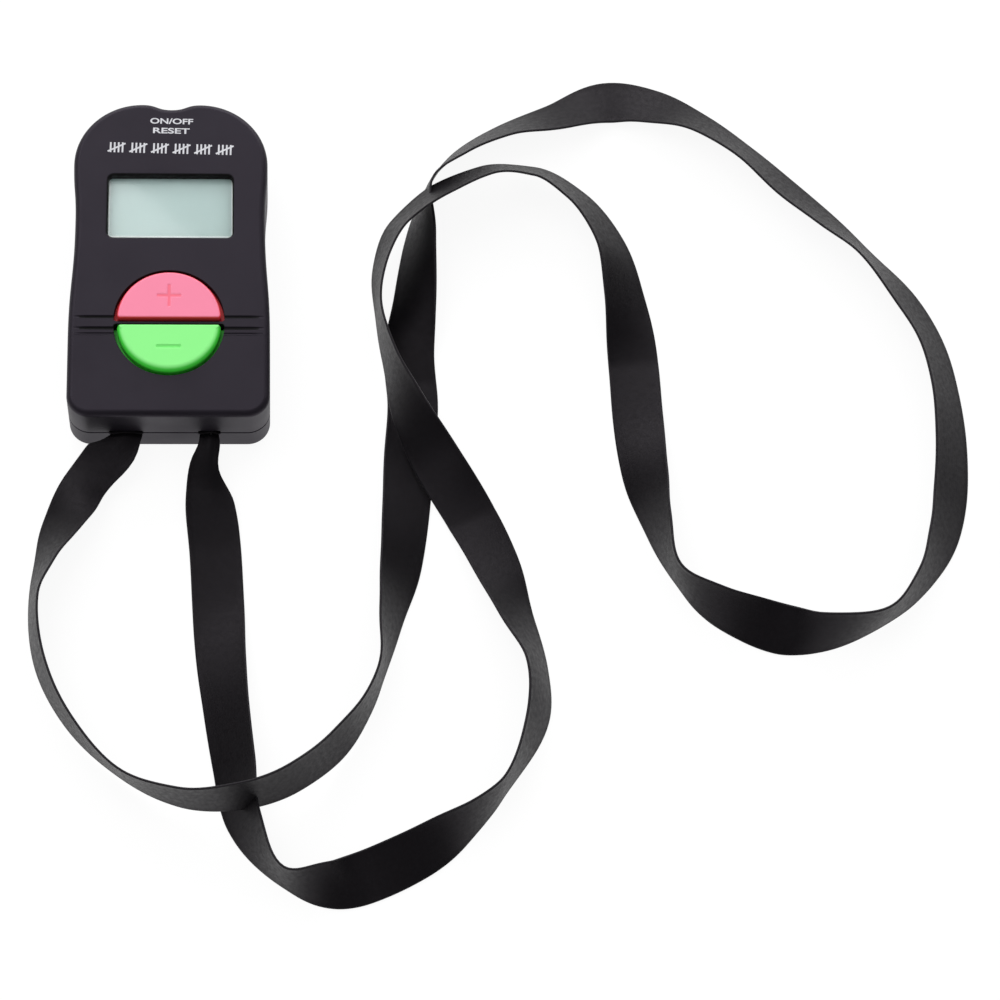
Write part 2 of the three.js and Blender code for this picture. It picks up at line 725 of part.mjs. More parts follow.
// Splits the ribbon's upper quads along the same diagonal as the lower ones, so that it keeps its
// thickness where it twists. A quad of the extrusion is six vertices, and the caps come first.
function matchDiagonals(geometry, sides, upperSides, steps) {
  const position = geometry.attributes.position
  const first = position.count - sides * steps * 6
  const corner = (index) => new THREE.Vector3().fromBufferAttribute(position, index)
  for (let side = 0; side < sides; side++) {
    for (let step = 0; step < steps && upperSides.includes(side); step++) {
      const start = first + (side * steps + step) * 6
      const [a, b, c, d] = [corner(start), corner(start + 1), corner(start + 4), corner(start + 2)]
      const split = [a, b, c, a, c, d]
      split.forEach((point, i) => position.setXYZ(start + i, point.x, point.y, point.z))
    }
  }
  return geometry
}

function buildRibbon() {
  const half = ribbonWidth / 2
  const thin = ribbonThickness / 2
  const section = new THREE.Shape([
    new THREE.Vector2(-half, -thin * 0.6),
    new THREE.Vector2(-half + thin, -thin),
    new THREE.Vector2(half - thin, -thin),
    new THREE.Vector2(half, -thin * 0.6),
    new THREE.Vector2(half, thin * 0.6),
    new THREE.Vector2(half - thin, thin),
    new THREE.Vector2(-half + thin, thin),
    new THREE.Vector2(-half, thin * 0.6)
  ])
  const steps = (ribbonRoute.length - 1) * ribbonStepsPerPoint
  const extrudePath = new RibbonPath(ribbonRoute)
  const geometry = new THREE.ExtrudeGeometry(section, { steps, extrudePath, bevelEnabled: false })
  return toSolid(matchDiagonals(geometry, 8, [0, 1, 2], steps))
}

const counter = new THREE.Group()

function addPiece(name, solid, material) {
  const mesh = new THREE.Mesh(toGeometry(solid), material)
  mesh.name = name
  counter.add(mesh)
}

addPiece('front_cover', buildFrontCover(), materials.shell)
addPiece('back_cover', buildBackCover(), materials.shell)
addPiece('display_lens', buildLens(), materials.lens)
addPiece('front_polariser', buildFilm(filmTop, glassYLow + clear), materials.film)
addPiece('display_glass', buildGlass(), materials.glass)
addPiece('rear_reflector', buildFilm(reflectorTop, glassYLow + contactLedge + clear), materials.film)
addPiece('display_holder', buildHolder(), materials.holder)
addPiece('contact_strip', buildStrip(), materials.elastomer)
addPiece('main_board', buildBoard(), materials.board)
addPiece('counter_chip', buildChip(), materials.chip)
addPiece('quartz_crystal', buildCrystal(), materials.steel)
addPiece('chip_capacitor', buildChipPart(-crystalLength), materials.ceramic)
addPiece('chip_resistor', buildChipPart(crystalLength), materials.chip)
addPiece('button_cell', buildCell(), materials.steel)
addPiece('positive_contact', buildPositiveContact(), materials.steel)
addPiece('negative_contact', buildNegativeContact(), materials.steel)

const bar = [markLength, markStroke]
const upright = [markStroke, markLength]
addPiece('plus_button', buildCountButton(1, [bar, upright]), materials.plus)
addPiece('minus_button', buildCountButton(-1, [bar]), materials.minus)
addPiece('reset_button', buildResetButton(), materials.reset)
addPiece('plus_switch', buildSwitch(buttonY + markY), materials.switchCase)
addPiece('plus_plunger', buildPlunger(buttonY + markY), materials.plunger)
addPiece('minus_switch', buildSwitch(buttonY - markY), materials.switchCase)
addPiece('minus_plunger', buildPlunger(buttonY - markY), materials.plunger)
addPiece('reset_switch', buildSideSwitch(), materials.switchCase)
addPiece('reset_plunger', buildSidePlunger(), materials.plunger)

casePosts.forEach((post, i) => {
  const screw = buildScrew(post, caseScrewSink, caseScrewRadius, caseScrewLength, caseScrewHeadRadius,
    caseScrewHeadHeight)
  addPiece(`case_screw_${i + 1}`, screw, materials.steel)
})
boardPosts.forEach((post, i) => {
  const z = boardBottom - boardScrewHeadHeight
  const screw = buildScrew(post, z, boardScrewRadius, boardScrewLength, boardScrewHeadRadius,
    boardScrewHeadHeight)
  addPiece(`board_screw_${i + 1}`, screw, materials.steel)
})

addPiece('ribbon_end_right', buildRibbonEnd(1), materials.ribbon)
addPiece('ribbon_end_left', buildRibbonEnd(-1), materials.ribbon)
addPiece('neck_ribbon', buildRibbon(), materials.ribbon)

export default counter
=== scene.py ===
# Digital tally counter on a neck ribbon: its surfaces and fine meshes, built around the packed
# frame. Shapes are worked out in millimetres and become metres in new_piece().
import math

import bmesh
import bpy
import numpy as np
from mathutils import Matrix, Vector


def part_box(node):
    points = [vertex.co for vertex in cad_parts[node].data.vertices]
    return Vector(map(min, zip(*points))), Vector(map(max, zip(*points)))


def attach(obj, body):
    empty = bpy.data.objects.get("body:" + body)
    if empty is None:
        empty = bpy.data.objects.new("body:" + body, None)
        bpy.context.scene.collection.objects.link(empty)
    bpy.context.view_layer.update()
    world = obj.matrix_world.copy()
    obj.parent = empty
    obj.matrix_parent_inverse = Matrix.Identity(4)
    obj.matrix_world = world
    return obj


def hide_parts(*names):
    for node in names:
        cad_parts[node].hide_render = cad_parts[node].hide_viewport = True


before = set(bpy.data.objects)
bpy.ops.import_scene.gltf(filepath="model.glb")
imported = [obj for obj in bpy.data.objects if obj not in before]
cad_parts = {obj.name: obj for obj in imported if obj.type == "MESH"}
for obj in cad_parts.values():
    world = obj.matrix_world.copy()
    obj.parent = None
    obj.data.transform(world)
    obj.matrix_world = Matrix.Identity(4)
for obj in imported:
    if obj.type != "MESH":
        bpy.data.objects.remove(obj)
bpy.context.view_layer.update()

MM = 0.001


def box_mm(node):
    """Lowest and highest corner of a CAD node, in millimetres."""
    low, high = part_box(node)
    return np.array(low) / MM, np.array(high) / MM


def middle_mm(node):
    low, high = box_mm(node)
    return (low + high) / 2


# Case
CASE_WIDTH, CASE_LENGTH, CASE_HEIGHT = box_mm("front_cover")[1] * (2, 2, 1)
WAIST_WIDTH = 37.0
LOBE_WIDTH = 38.0
PARTING = 6.3
SEAM = 0.2
WALL = 1.6
EDGE_ROUND = 1.25
BACK_ROUND = 0.7
CORNER_RADIUS = 4.4
STRAIGHT_SIDE = 16.0
WAIST_FROM_END = 25.0
LOBE_FROM_END = 13.3
DENT_WIDTH = 11.4
DENT_DEPTH = 1.12
SEAM_LIP = 0.15
LIP_HEIGHT = 1.1
LIP_THICKNESS = 0.8
CLEAR = 0.3
PANEL_UNDER = CASE_HEIGHT - WALL
TOP_Y = CASE_LENGTH / 2
BOTTOM_Y = -CASE_LENGTH / 2
DENT_WALL_Y = TOP_Y - DENT_DEPTH

# Display window
WINDOW_WIDTH = 24.3
WINDOW_HEIGHT = 13.5
WINDOW_Y = TOP_Y - 22.7
WINDOW_CORNER = 1.1
WINDOW_LIP = 0.5

# Count keys
KEY_Y = -14.2
KEY_RADIUS = 10.05
OPENING_RADIUS = 10.72
KEY_SHIFT = 0.4
KEY_HALF_GAP = 0.75
KEY_CORNER = 0.6
ARC_STEPS, CORNER_STEPS, FLAT_STEPS = 96, 12, 40
PLUS_ARC_ROUND = 0.5
MINUS_ARC_ROUND = 1.2
KEY_FLAT_ROUND = 0.35
KEY_WALL = 1.3
KEY_TOP = box_mm("plus_button")[1][2]
KEY_SLIDE = 0.47
KEY_LIP = 0.12
FLANGE_OVERLAP = 1.0
FLANGE_THICKNESS = 1.0
FLANGE_CHAMFER = 0.1
FLANGE_TOP = PANEL_UNDER - CLEAR
FLANGE_BOTTOM = FLANGE_TOP - FLANGE_THICKNESS
FLANGE_RADIUS = OPENING_RADIUS + FLANGE_OVERLAP - CLEAR
STEM_RADIUS = 1.5
MARK_Y = 5.4
MARK_LENGTH = 4.7
MARK_STROKE = 0.62
PLUS_MARK_DEPTH = 0.09
MINUS_MARK_DEPTH = 0.19
MARK_FLARE = 0.2

# Grooves across the face: place from the keys' centre line, width and depth
GROOVES = [(1.2, 0.42, 0.26), (-1.2, 0.46, 0.28), (-2.45, 0.36, 0.12)]
GROOVE_FLARE = 0.16
# How a groove fades out: the way from the case's side, and the share of its depth there
GROOVE_FADE = [(1.1, 0.05), (2.2, 0.55), (3.6, 1.0)]

# Where the painted recess shade on the shells begins, by the way from the outline and from the face:
# inside the case, in its openings and in its grooves
SHADE_FROM_SIDE = 1.0
SHADE_FROM_BACK = 0.05
SHADE_UNDER_FACE = 0.02
SHADE_UNDER_GROOVES = 0.15
GROOVES_REACH = 3.2

# Reset key in the end wall
RESET_WIDTH = 9.4
RESET_HEIGHT = 4.6
RESET_EXPONENT = 2.6
RESET_Z = CASE_HEIGHT / 2
RESET_ROUND = 1.5
RESET_LIP = 0.25
RESET_SLIDE = 0.35
RESET_FLANGE_REACH = 0.7
RESET_FLANGE = 0.8
RESET_CROWN = 0.35
RESET_FLAT_SHARE = 0.35
RESET_DOME_POWER = 2.4
RESET_DOME_STEPS = 14
RESET_COLUMNS = 97

# Posts and screws
POST_RADIUS = 1.9
TOWER_WALL = 0.4
SCREW_RADIUS = 0.85
SCREW_HEAD_RADIUS = 1.6
SCREW_HEAD_HEIGHT = 1.2
SCREW_SLACK = 0.2
SCREW_PITCH = 0.6
SCREW_RECESS = (0.85, 0.17)
WELL_LIP = 0.2
BOARD_POST_RADIUS = 1.6
BOARD_SCREW_RADIUS = 0.65
CASE_SCREWS = [f"case_screw_{i}" for i in range(1, 5)]
BOARD_SCREWS = [f"board_screw_{i}" for i in range(1, 5)]

# Neck ribbon
RIBBON_WIDTH = 10.0
RIBBON_THICKNESS = 0.34
SLOT_Y = -33.95
SLOT_MIDDLES = [-8.3, 7.75]
SLOT_WIDTHS = [6.5, 4.3]
SLOT_HEIGHT = 1.5
SLOT_LIP = 0.25
TURN_LENGTH = 8.0
FOLD_DEPTH = 0.35
CUP_DEPTH = 0.16
CUP_WAVE = 37
EDGE_CLEARANCE = 0.3
STUB_LENGTH = 3.6
STUB_STEPS = 12
KNOT_STEPS = 160
KNOT_SIDES = 10
KNOT_TUBE = 0.42
KNOT_HALF_DEPTH = 1.5
KNOT_FROM_WALL = 1.6
# How far the ribbon opens after each slot: the way from the slot, and the shares of the half width
# on its left and on its right.
RIGHT_OPENING = [
    (0, 0.30, 0.44), (2.2, 0.39, 0.47), (4.5, 0.28, 0.75), (7.5, 0.30, 0.88), (9.7, 0.60, 0.92),
    (12.5, 0.88, 0.97), (15, 0.95, 1), (18, 1, 1),
]
LEFT_OPENING = [
    (0, 0.66, 0.60), (2, 0.76, 0.76), (4, 0.95, 0.95), (6.3, 1, 0.92), (8, 1, 0.86), (9.6, 1, 0.80),
    (12, 1, 0.80), (13.5, 1, 0.84), (16.5, 1, 0.97), (18, 1, 1),
]


def show(thing):
    bpy.context.scene.collection.objects.link(thing)


def unit(vectors):
    """Rows of vectors, each one long."""
    return vectors / np.linalg.norm(vectors, axis=1)[:, None]


# Camera and light

CAMERA_PLACE = Vector((20.52, -314.05, 666.54))
CAMERA_AZIMUTH = math.radians(9.24)
CAMERA_ELEVATION = math.radians(67.77)
CAMERA_ROLL = math.radians(8.56)
CAMERA_LENS = 132.9


def build_camera():
    across = math.cos(CAMERA_ELEVATION)
    ahead = Vector((math.sin(CAMERA_AZIMUTH) * across, math.cos(CAMERA_AZIMUTH) * across,
                    -math.sin(CAMERA_ELEVATION)))
    level = Vector((math.cos(CAMERA_AZIMUTH), -math.sin(CAMERA_AZIMUTH), 0))
    upright = level.cross(ahead)
    right = math.cos(CAMERA_ROLL) * level + math.sin(CAMERA_ROLL) * upright
    up = math.cos(CAMERA_ROLL) * upright - math.sin(CAMERA_ROLL) * level
    lens = bpy.data.cameras.new("photo_camera")
    lens.lens = CAMERA_LENS
    lens.clip_start = 0.02
    lens.clip_end = 20
    camera = bpy.data.objects.new("photo_camera", lens)
    turn = Matrix((right, up, -ahead)).transposed().to_4x4()
    camera.matrix_world = Matrix.Translation(CAMERA_PLACE * MM) @ turn
    show(camera)
    bpy.context.scene.camera = camera


def add_softbox(name, place, target, size, power):
    """An area lamp at a place in metres, turned to a target."""
    lamp = bpy.data.lights.new(name, "AREA")
    lamp.shape = "RECTANGLE"
    lamp.size, lamp.size_y = size
    lamp.energy = power
    box = bpy.data.objects.new(name, lamp)
    box.location = place
    box.rotation_euler = (Vector(target) - Vector(place)).to_track_quat("-Z", "Y").to_euler()
    show(box)


# Meshes

def new_piece(name, points, faces):
    """A mesh object at the origin, from points in millimetres."""
    mesh = bpy.data.meshes.new(name)
    mesh.from_pydata([tuple(point) for point in np.asarray(points, float) * MM], [], faces)
    mesh.update()
    piece = bpy.data.objects.new(name, mesh)
    show(piece)
    return piece


def line(start, end, count):
    """Points on a straight stretch, without its end."""
    share = np.arange(count)[:, None] / count
    return np.array(start) * (1 - share) + np.array(end) * share


def arc(centre, radii, start, end, count):
    """Points on a part of an ellipse, in degrees, without its end."""
    angle = np.radians(start + (end - start) * np.arange(count) / count)
    return np.stack([centre[0] + radii[0] * np.cos(angle), centre[1] + radii[1] * np.sin(angle)], 1)


def bezier(a, b, c, d, count):
    """Points on a cubic curve, without its end."""
    t = np.arange(count)[:, None] / count
    return (np.array(a) * (1 - t) ** 3 + np.array(b) * 3 * t * (1 - t) ** 2
            + np.array(c) * 3 * t * t * (1 - t) + np.array(d) * t ** 3)


def ramp(value, low, high):
    """A soft step from 0 at low to 1 at high."""
    share = np.clip((value - low) / (high - low), 0, 1)
    return share * share * (3 - 2 * share)


def case_outline():
    """The case seen from the front, counterclockwise from the middle of its lower end."""
    base, waist, lobe = CASE_WIDTH / 2, WAIST_WIDTH / 2, LOBE_WIDTH / 2
    side_end = BOTTOM_Y + STRAIGHT_SIDE
    waist_y = TOP_Y - WAIST_FROM_END
    lobe_y = TOP_Y - LOBE_FROM_END
    peak = DENT_WIDTH / 2
    corner = CORNER_RADIUS
    low_pull = (waist_y - side_end) / 2
    high_pull = (lobe_y - waist_y) / 2
    right = np.concatenate([
        line((0, BOTTOM_Y), (base - corner, BOTTOM_Y), 40),
        arc((base - corner, BOTTOM_Y + corner), (corner, corner), -90, 0, 16),
        line((base, BOTTOM_Y + corner), (base, side_end), 30),
        bezier((base, side_end), (base, side_end + low_pull), (waist, waist_y - low_pull),
               (waist, waist_y), 40),
        bezier((waist, waist_y), (waist, waist_y + high_pull), (lobe, lobe_y - high_pull),
               (lobe, lobe_y), 28),
        arc((peak, lobe_y), (lobe - peak, TOP_Y - lobe_y), 0, 90, 48),
        bezier((peak, TOP_Y), (peak / 2, TOP_Y), (peak / 2, DENT_WALL_Y), (0, DENT_WALL_Y), 20),
    ])
    left = right[:0:-1] * (-1, 1)
    return np.concatenate([right, [(0, DENT_WALL_Y)], left])


def rounded_rectangle(width, height, radius, x=0.0, y=0.0, steps=8):
    corners = [(1, -1, -90), (1, 1, 0), (-1, 1, 90), (-1, -1, 180)]
    arcs = []
    for side, end, start in corners:
        centre = (x + side * (width / 2 - radius), y + end * (height / 2 - radius))
        arcs.append(arc(centre, (radius, radius), start, start + 90 * (steps + 1) / steps, steps + 1))
    return np.concatenate(arcs)


def half_disc(radius, lift, side):
    """The part of a disc above a line, with round corners; side -1 turns it to the other half.

    The disc's middle lies above the pair's middle, so the pair is a little longer than wide.
    """
    corner_y = lift + KEY_CORNER
    rise = corner_y - KEY_SHIFT
    corner_x = math.sqrt((radius - KEY_CORNER) ** 2 - rise ** 2)
    reach = math.degrees(math.atan2(rise, corner_x))
    round_corner = (KEY_CORNER, KEY_CORNER)
    outline = np.concatenate([
        arc((0, KEY_SHIFT), (radius, radius), reach, 180 - reach, ARC_STEPS),
        arc((-corner_x, corner_y), round_corner, 180 - reach, 270, CORNER_STEPS),
        line((-corner_x, lift), (corner_x, lift), FLAT_STEPS),
        arc((corner_x, corner_y), round_corner, 270, 360 + reach, CORNER_STEPS),
    ])
    return outline * side + (0, KEY_Y)


def key_rounding(arc_round):
    """The edge radius at each point of a half disc, smaller along its straight side."""
    turn = ramp(np.arange(CORNER_STEPS) / CORNER_STEPS, 0, 1)
    fade = arc_round * (1 - turn) + KEY_FLAT_ROUND * turn
    straight = np.full(FLAT_STEPS, KEY_FLAT_ROUND)
    return np.concatenate([np.full(ARC_STEPS, arc_round), fade, straight, fade[::-1]])


def superellipse(half_width, half_height, count=96):
    angle = np.arange(count) / count * 2 * math.pi
    bend = lambda value: np.sign(value) * np.abs(value) ** (2 / RESET_EXPONENT)
    return np.stack([half_width * bend(np.cos(angle)), half_height * bend(np.sin(angle))], 1)


def inset(outline, distance):
    """A counterclockwise outline moved inwards along its normals, by one distance or one a point."""
    ahead = np.roll(outline, -1, 0) - np.roll(outline, 1, 0)
    outward = unit(np.stack([ahead[:, 1], -ahead[:, 0]], 1))
    return outline - outward * np.reshape(distance, (-1, 1))


def at_height(outline, z):
    return np.column_stack([outline, np.broadcast_to(z, len(outline))])


def stack(outline, levels):
    """Rings for skin(): one for each (inset, height) of levels."""
    return [at_height(inset(outline, depth), z) for depth, z in levels]


def rounded_edge(radius, z, down, steps=7):
    """Levels of a quarter round that runs from the flat face at height z to the side wall."""
    angles = [math.pi / 2 * i / steps for i in range(steps + 1)]
    return [(radius * (1 - math.sin(a)), z - down * radius * (1 - math.cos(a))) for a in angles]


def lip_levels(radius, z, beyond, steps=4):
    """Levels of a cutter that leaves a rounded mouth at height z, from beyond it inwards."""
    levels = [(-radius, z + beyond)]
    for i in range(steps + 1):
        angle = math.pi / 2 * i / steps
        levels.append((-radius * (1 - math.sin(angle)), z - radius * (1 - math.cos(angle))))
    return levels


def band_faces(rings, count, closed=False):
    """Quads between neighbouring rings of equal count; closed joins the last ring to the first."""
    faces = []
    for ring in range(rings if closed else rings - 1):
        a, b = ring * count, (ring + 1) % rings * count
        faces += [(a + i, a + (i + 1) % count, b + (i + 1) % count, b + i) for i in range(count)]
    return faces


def end_faces(rings, count):
    """The two flat faces that close a row of rings."""
    last = (rings - 1) * count
    return [tuple(range(count)), tuple(range(last + count - 1, last - 1, -1))]


def skin(name, rings):
    """A closed solid whose skin passes through rings of equal count, with a flat face at each end."""
    count = len(rings[0])
    faces = band_faces(len(rings), count) + end_faces(len(rings), count)
    piece = new_piece(name, np.concatenate(rings), faces)
    point_outwards(piece)
    return piece


def point_outwards(piece):
    shape = bmesh.new()
    shape.from_mesh(piece.data)
    bmesh.ops.remove_doubles(shape, verts=shape.verts, dist=1e-7)
    bmesh.ops.recalc_face_normals(shape, faces=shape.faces)
    shape.to_mesh(piece.data)
    shape.free()


def block(x, y, z):
    """A box cutter between pairs of planes."""
    outline = np.array([(x[0], y[0]), (x[1], y[0]), (x[1], y[1]), (x[0], y[1])])
    return skin("block", [at_height(outline, z[0]), at_height(outline, z[1])])


def post(place, radius, z, sides=32):
    outline = arc(place, (radius, radius), 0, 360, sides)
    return skin("post", [at_height(outline, z[0]), at_height(outline, z[1])])


def turn_to_end(piece):
    """Turns a solid that was built along Z so that it runs along Y at the reset key's height."""
    turn = Matrix(((1, 0, 0, 0), (0, 0, 1, 0), (0, 1, 0, RESET_Z * MM), (0, 0, 0, 1)))
    piece.data.transform(turn)
    point_outwards(piece)
    return piece


def settle(piece):
    """Replaces a piece's mesh by what its modifiers make of it."""
    graph = bpy.context.evaluated_depsgraph_get()
    mesh = bpy.data.meshes.new_from_object(piece.evaluated_get(graph))
    mesh.name = piece.name
    piece.modifiers.clear()
    piece.data = mesh


def carve(piece, operation, tools):
    """Cuts the tools out of a piece, or joins them to it, and removes them."""
    for tool in tools:
        cut = piece.modifiers.new("carve", "BOOLEAN")
        cut.operation = operation
        cut.solver = "EXACT"
        cut.object = tool
    settle(piece)
    for tool in tools:
        bpy.data.objects.remove(tool)


def smooth(piece, sharp_angle=33):
    """Smooth shading with sharp corners, and flat faces that stay flat."""
    shape = bmesh.new()
    shape.from_mesh(piece.data)
    bmesh.ops.remove_doubles(shape, verts=shape.verts, dist=2e-6)
    bmesh.ops.dissolve_degenerate(shape, edges=shape.edges, dist=1e-7)
    shape.to_mesh(piece.data)
    shape.free()
    piece.data.shade_smooth()
    piece.data.set_sharp_from_angle(angle=math.radians(sharp_angle))
    weigh = piece.modifiers.new("flat_faces", "WEIGHTED_NORMAL")
    weigh.keep_sharp = True
    weigh.weight = 90
    settle(piece)


def dress(piece, body, slot, *stands_for):
    """Hangs a finished piece on the body it rides on and hides the CAD nodes it replaces. Its slot is not
    used.
    """
    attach(piece, body)
    if stands_for:
        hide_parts(*stands_for)


# Materials

def add_node(tree, kind, inputs=(), **settings):
    made = tree.nodes.new(kind)
    for name, value in settings.items():
        setattr(made, name, value)
    for name, value in dict(inputs).items():
        if isinstance(value, bpy.types.NodeSocket):
            tree.links.new(value, made.inputs[name])
        else:
            made.inputs[name].default_value = value
    return made


def calculate(tree, operation, *values, **settings):
    """The result of a Math node for numbers or sockets."""
    made = add_node(tree, "ShaderNodeMath", dict(enumerate(values)), operation=operation, **settings)
    return made.outputs[0]


def calculate_vector(tree, operation, *values):
    """The result of a Vector Math node."""
    made = add_node(tree, "ShaderNodeVectorMath", dict(enumerate(values)), operation=operation)
    return made.outputs[0]


def split_vector(tree, vector):
    return add_node(tree, "ShaderNodeSeparateXYZ", {"Vector": vector}).outputs


def join_vector(tree, **parts):
    return add_node(tree, "ShaderNodeCombineXYZ", parts).outputs[0]


def remap(tree, value, from_low, from_high, to_low=0.0, to_high=1.0, **settings):
    """The result of a Map Range node."""
    made = add_node(tree, "ShaderNodeMapRange", {
        "Value": value, "From Min": from_low, "From Max": from_high, "To Min": to_low, "To Max": to_high,
    }, **settings)
    return made.outputs[0]


def object_place(tree):
    return add_node(tree, "ShaderNodeTexCoord").outputs["Object"]


def finish(name, colour, roughness, sockets=()):
    material = bpy.data.materials.new(name)
    material.use_nodes = True
    shader = material.node_tree.nodes["Principled BSDF"]
    shader.inputs["Base Color"].default_value = (*colour, 1)
    shader.inputs["Roughness"].default_value = roughness
    for socket, value in dict(sockets).items():
        shader.inputs[socket].default_value = value
    material.diffuse_color = (*colour, 1)
    return material


def shader_of(material):
    return material.node_tree.nodes["Principled BSDF"]


def feed(material, socket, value):
    """Links a result to a socket of the material's shader."""
    material.node_tree.links.new(value, shader_of(material).inputs[socket])


def object_noise(material, scale, detail=2.0):
    tree = material.node_tree
    sockets = {"Vector": object_place(tree), "Scale": scale, "Detail": detail}
    return add_node(tree, "ShaderNodeTexNoise", sockets).outputs["Fac"]


def mix_colours(tree, share, low, high):
    mixed = add_node(tree, "ShaderNodeMix", data_type="RGBA")
    for index, value in ((0, share), (6, low), (7, high)):
        if isinstance(value, bpy.types.NodeSocket):
            tree.links.new(value, mixed.inputs[index])
        else:
            mixed.inputs[index].default_value = (*value, 1) if index else value
    return mixed.outputs[2]


def mottle(material, other, scale, low=0.35, high=0.65):
    """Clouds a finish with another colour."""
    tree = material.node_tree
    cloud = remap(tree, object_noise(material, scale, 3.0), low, high)
    base = tuple(shader_of(material).inputs["Base Color"].default_value)[:3]
    feed(material, "Base Color", mix_colours(tree, cloud, base, other))


def grain(material, scale, strength, height):
    """A fine moulded or cast texture as bump, with its height in metres."""
    bump = add_node(material.node_tree, "ShaderNodeBump", {
        "Height": object_noise(material, scale, 4.0), "Strength": strength, "Distance": height})
    feed(material, "Normal", bump.outputs["Normal"])


def rub(material, low, high, scale):
    """Roughness that wanders between two values, as on a handled surface."""
    spread = remap(material.node_tree, object_noise(material, scale, 3.0), 0.3, 0.7, low, high)
    feed(material, "Roughness", spread)


def charcoal_case_plastic():
    """Rubber-coated charcoal plastic with a very fine grain."""
    material = finish("charcoal_case_plastic", (0.0040, 0.0030, 0.0056), 0.5,
                      {"Specular IOR Level": 0.47, "Specular Tint": (0.90, 0.79, 1.0, 1)})
    mottle(material, (0.0050, 0.0039, 0.0068), 160)
    grain(material, 5200, 0.22, 0.00003)
    rub(material, 0.46, 0.58, 90)
    return material


# Painted shade: a darker black with less sheen for the case's inside, its openings and its grooves.
def recess_shade_black():
    material = finish("recess_shade_black", (0.0045, 0.0042, 0.0050), 0.6, {"Specular IOR Level": 0.2})
    mottle(material, (0.0060, 0.0056, 0.0064), 160)
    grain(material, 3000, 0.2, 0.00003)
    return material


def key_plastic(name, top, wall, rim_height, wall_shade_reach):
    """Satin plastic with a grained top; its darker, deeper wall colour is painted shade, blended in by
    height below the rim.
    """
    material = finish(name, top, 0.42, {"Specular IOR Level": 0.45})
    tree = material.node_tree
    height = split_vector(tree, object_place(tree))["Z"]
    # Painted shade: below the rim the key's colour darkens into the wall colour, by height.
    share = remap(tree, height, (rim_height - wall_shade_reach) * MM, rim_height * MM,
                  interpolation_type="SMOOTHSTEP")
    cloud = mix_colours(tree, object_noise(material, 220, 3.0), tuple(0.96 * c for c in top), top)
    feed(material, "Base Color", mix_colours(tree, share, wall, cloud))
    grain(material, 4200, 0.16, 0.00003)
    rub(material, 0.38, 0.48, 120)
    return material


def blue_key_plastic():
    material = finish("blue_key_plastic", (0.085, 0.45, 0.78), 0.4, {"Specular IOR Level": 0.45})
    mottle(material, (0.095, 0.48, 0.80), 260)
    grain(material, 4200, 0.15, 0.00003)
    rub(material, 0.36, 0.46, 140)
    return material


def white_print():
    material = finish("white_print", (0.72, 0.72, 0.76), 0.55)
    mottle(material, (0.60, 0.60, 0.64), 1500)
    grain(material, 9000, 0.2, 0.00001)
    return material


def clear_lens_acrylic():
    material = finish("clear_lens_acrylic", (0.97, 0.99, 0.985), 0.03,
                      {"Transmission Weight": 1.0, "IOR": 1.45, "Specular IOR Level": 0.4})
    rub(material, 0.02, 0.05, 60)
    return material


FIELD_HALF_WIDTH = 11.85
FIELD_LOW = WINDOW_Y - WINDOW_HEIGHT / 2 + 1.35
FIELD_HIGH = WINDOW_Y + WINDOW_HEIGHT / 2 + 1.0
FIELD_BLUR = 0.05


def display_film():
    """The blank display: a pale grey green field with a paler frame round it, which is a painted highlight
    of the lens's edges.
    """
    material = finish("display_film", (0.49, 0.62, 0.60), 0.35, {"Specular IOR Level": 0.3})
    tree = material.node_tree
    middle = (0, (FIELD_LOW + FIELD_HIGH) / 2 * MM, 0)
    half = (FIELD_HALF_WIDTH * MM, (FIELD_HIGH - FIELD_LOW) / 2 * MM, 0)
    centred = calculate_vector(tree, "SUBTRACT", object_place(tree), middle)
    edge = calculate_vector(tree, "SUBTRACT", calculate_vector(tree, "ABSOLUTE", centred), half)
    split = split_vector(tree, edge)
    beyond = calculate(tree, "MAXIMUM", split["X"], split["Y"])
    # Painted highlight: the paler frame stands for the light caught by the lens's edges round the field.
    lens_glint_share = remap(tree, beyond, -FIELD_BLUR * MM, FIELD_BLUR * MM)
    base = mix_colours(tree, object_noise(material, 45, 2.0), (0.475, 0.610, 0.585), (0.505, 0.630, 0.625))
    feed(material, "Base Color", mix_colours(tree, lens_glint_share, base, (0.80, 0.86, 0.85)))
    grain(material, 6000, 0.05, 0.00001)
    return material


def rear_film():
    material = finish("rear_film", (0.55, 0.62, 0.60), 0.3)
    mottle(material, (0.60, 0.66, 0.64), 300)
    grain(material, 5000, 0.1, 0.00001)
    return material


def display_glass():
    material = finish("display_glass", (0.78, 0.86, 0.82), 0.04,
                      {"Transmission Weight": 0.9, "IOR": 1.5})
    rub(material, 0.03, 0.08, 80)
    return material


def white_frame_plastic():
    material = finish("white_frame_plastic", (0.75, 0.75, 0.72), 0.5)
    mottle(material, (0.70, 0.70, 0.66), 200)
    grain(material, 3000, 0.15, 0.00003)
    return material


def striped_elastomer():
    """The connector strip: thin dark and pale layers side by side."""
    material = finish("striped_elastomer", (0.62, 0.28, 0.36), 0.7)
    tree = material.node_tree
    stripes = add_node(tree, "ShaderNodeTexWave", {"Vector": object_place(tree), "Scale": 900},
                       bands_direction="X")
    striped = mix_colours(tree, stripes.outputs["Fac"], (0.05, 0.045, 0.05), (0.62, 0.28, 0.36))
    feed(material, "Base Color", striped)
    grain(material, 2500, 0.2, 0.00004)
    return material


def green_solder_mask():
    material = finish("green_solder_mask", (0.012, 0.12, 0.04), 0.32)
    mottle(material, (0.018, 0.16, 0.055), 700)
    grain(material, 1600, 0.2, 0.00004)
    rub(material, 0.26, 0.4, 300)
    return material


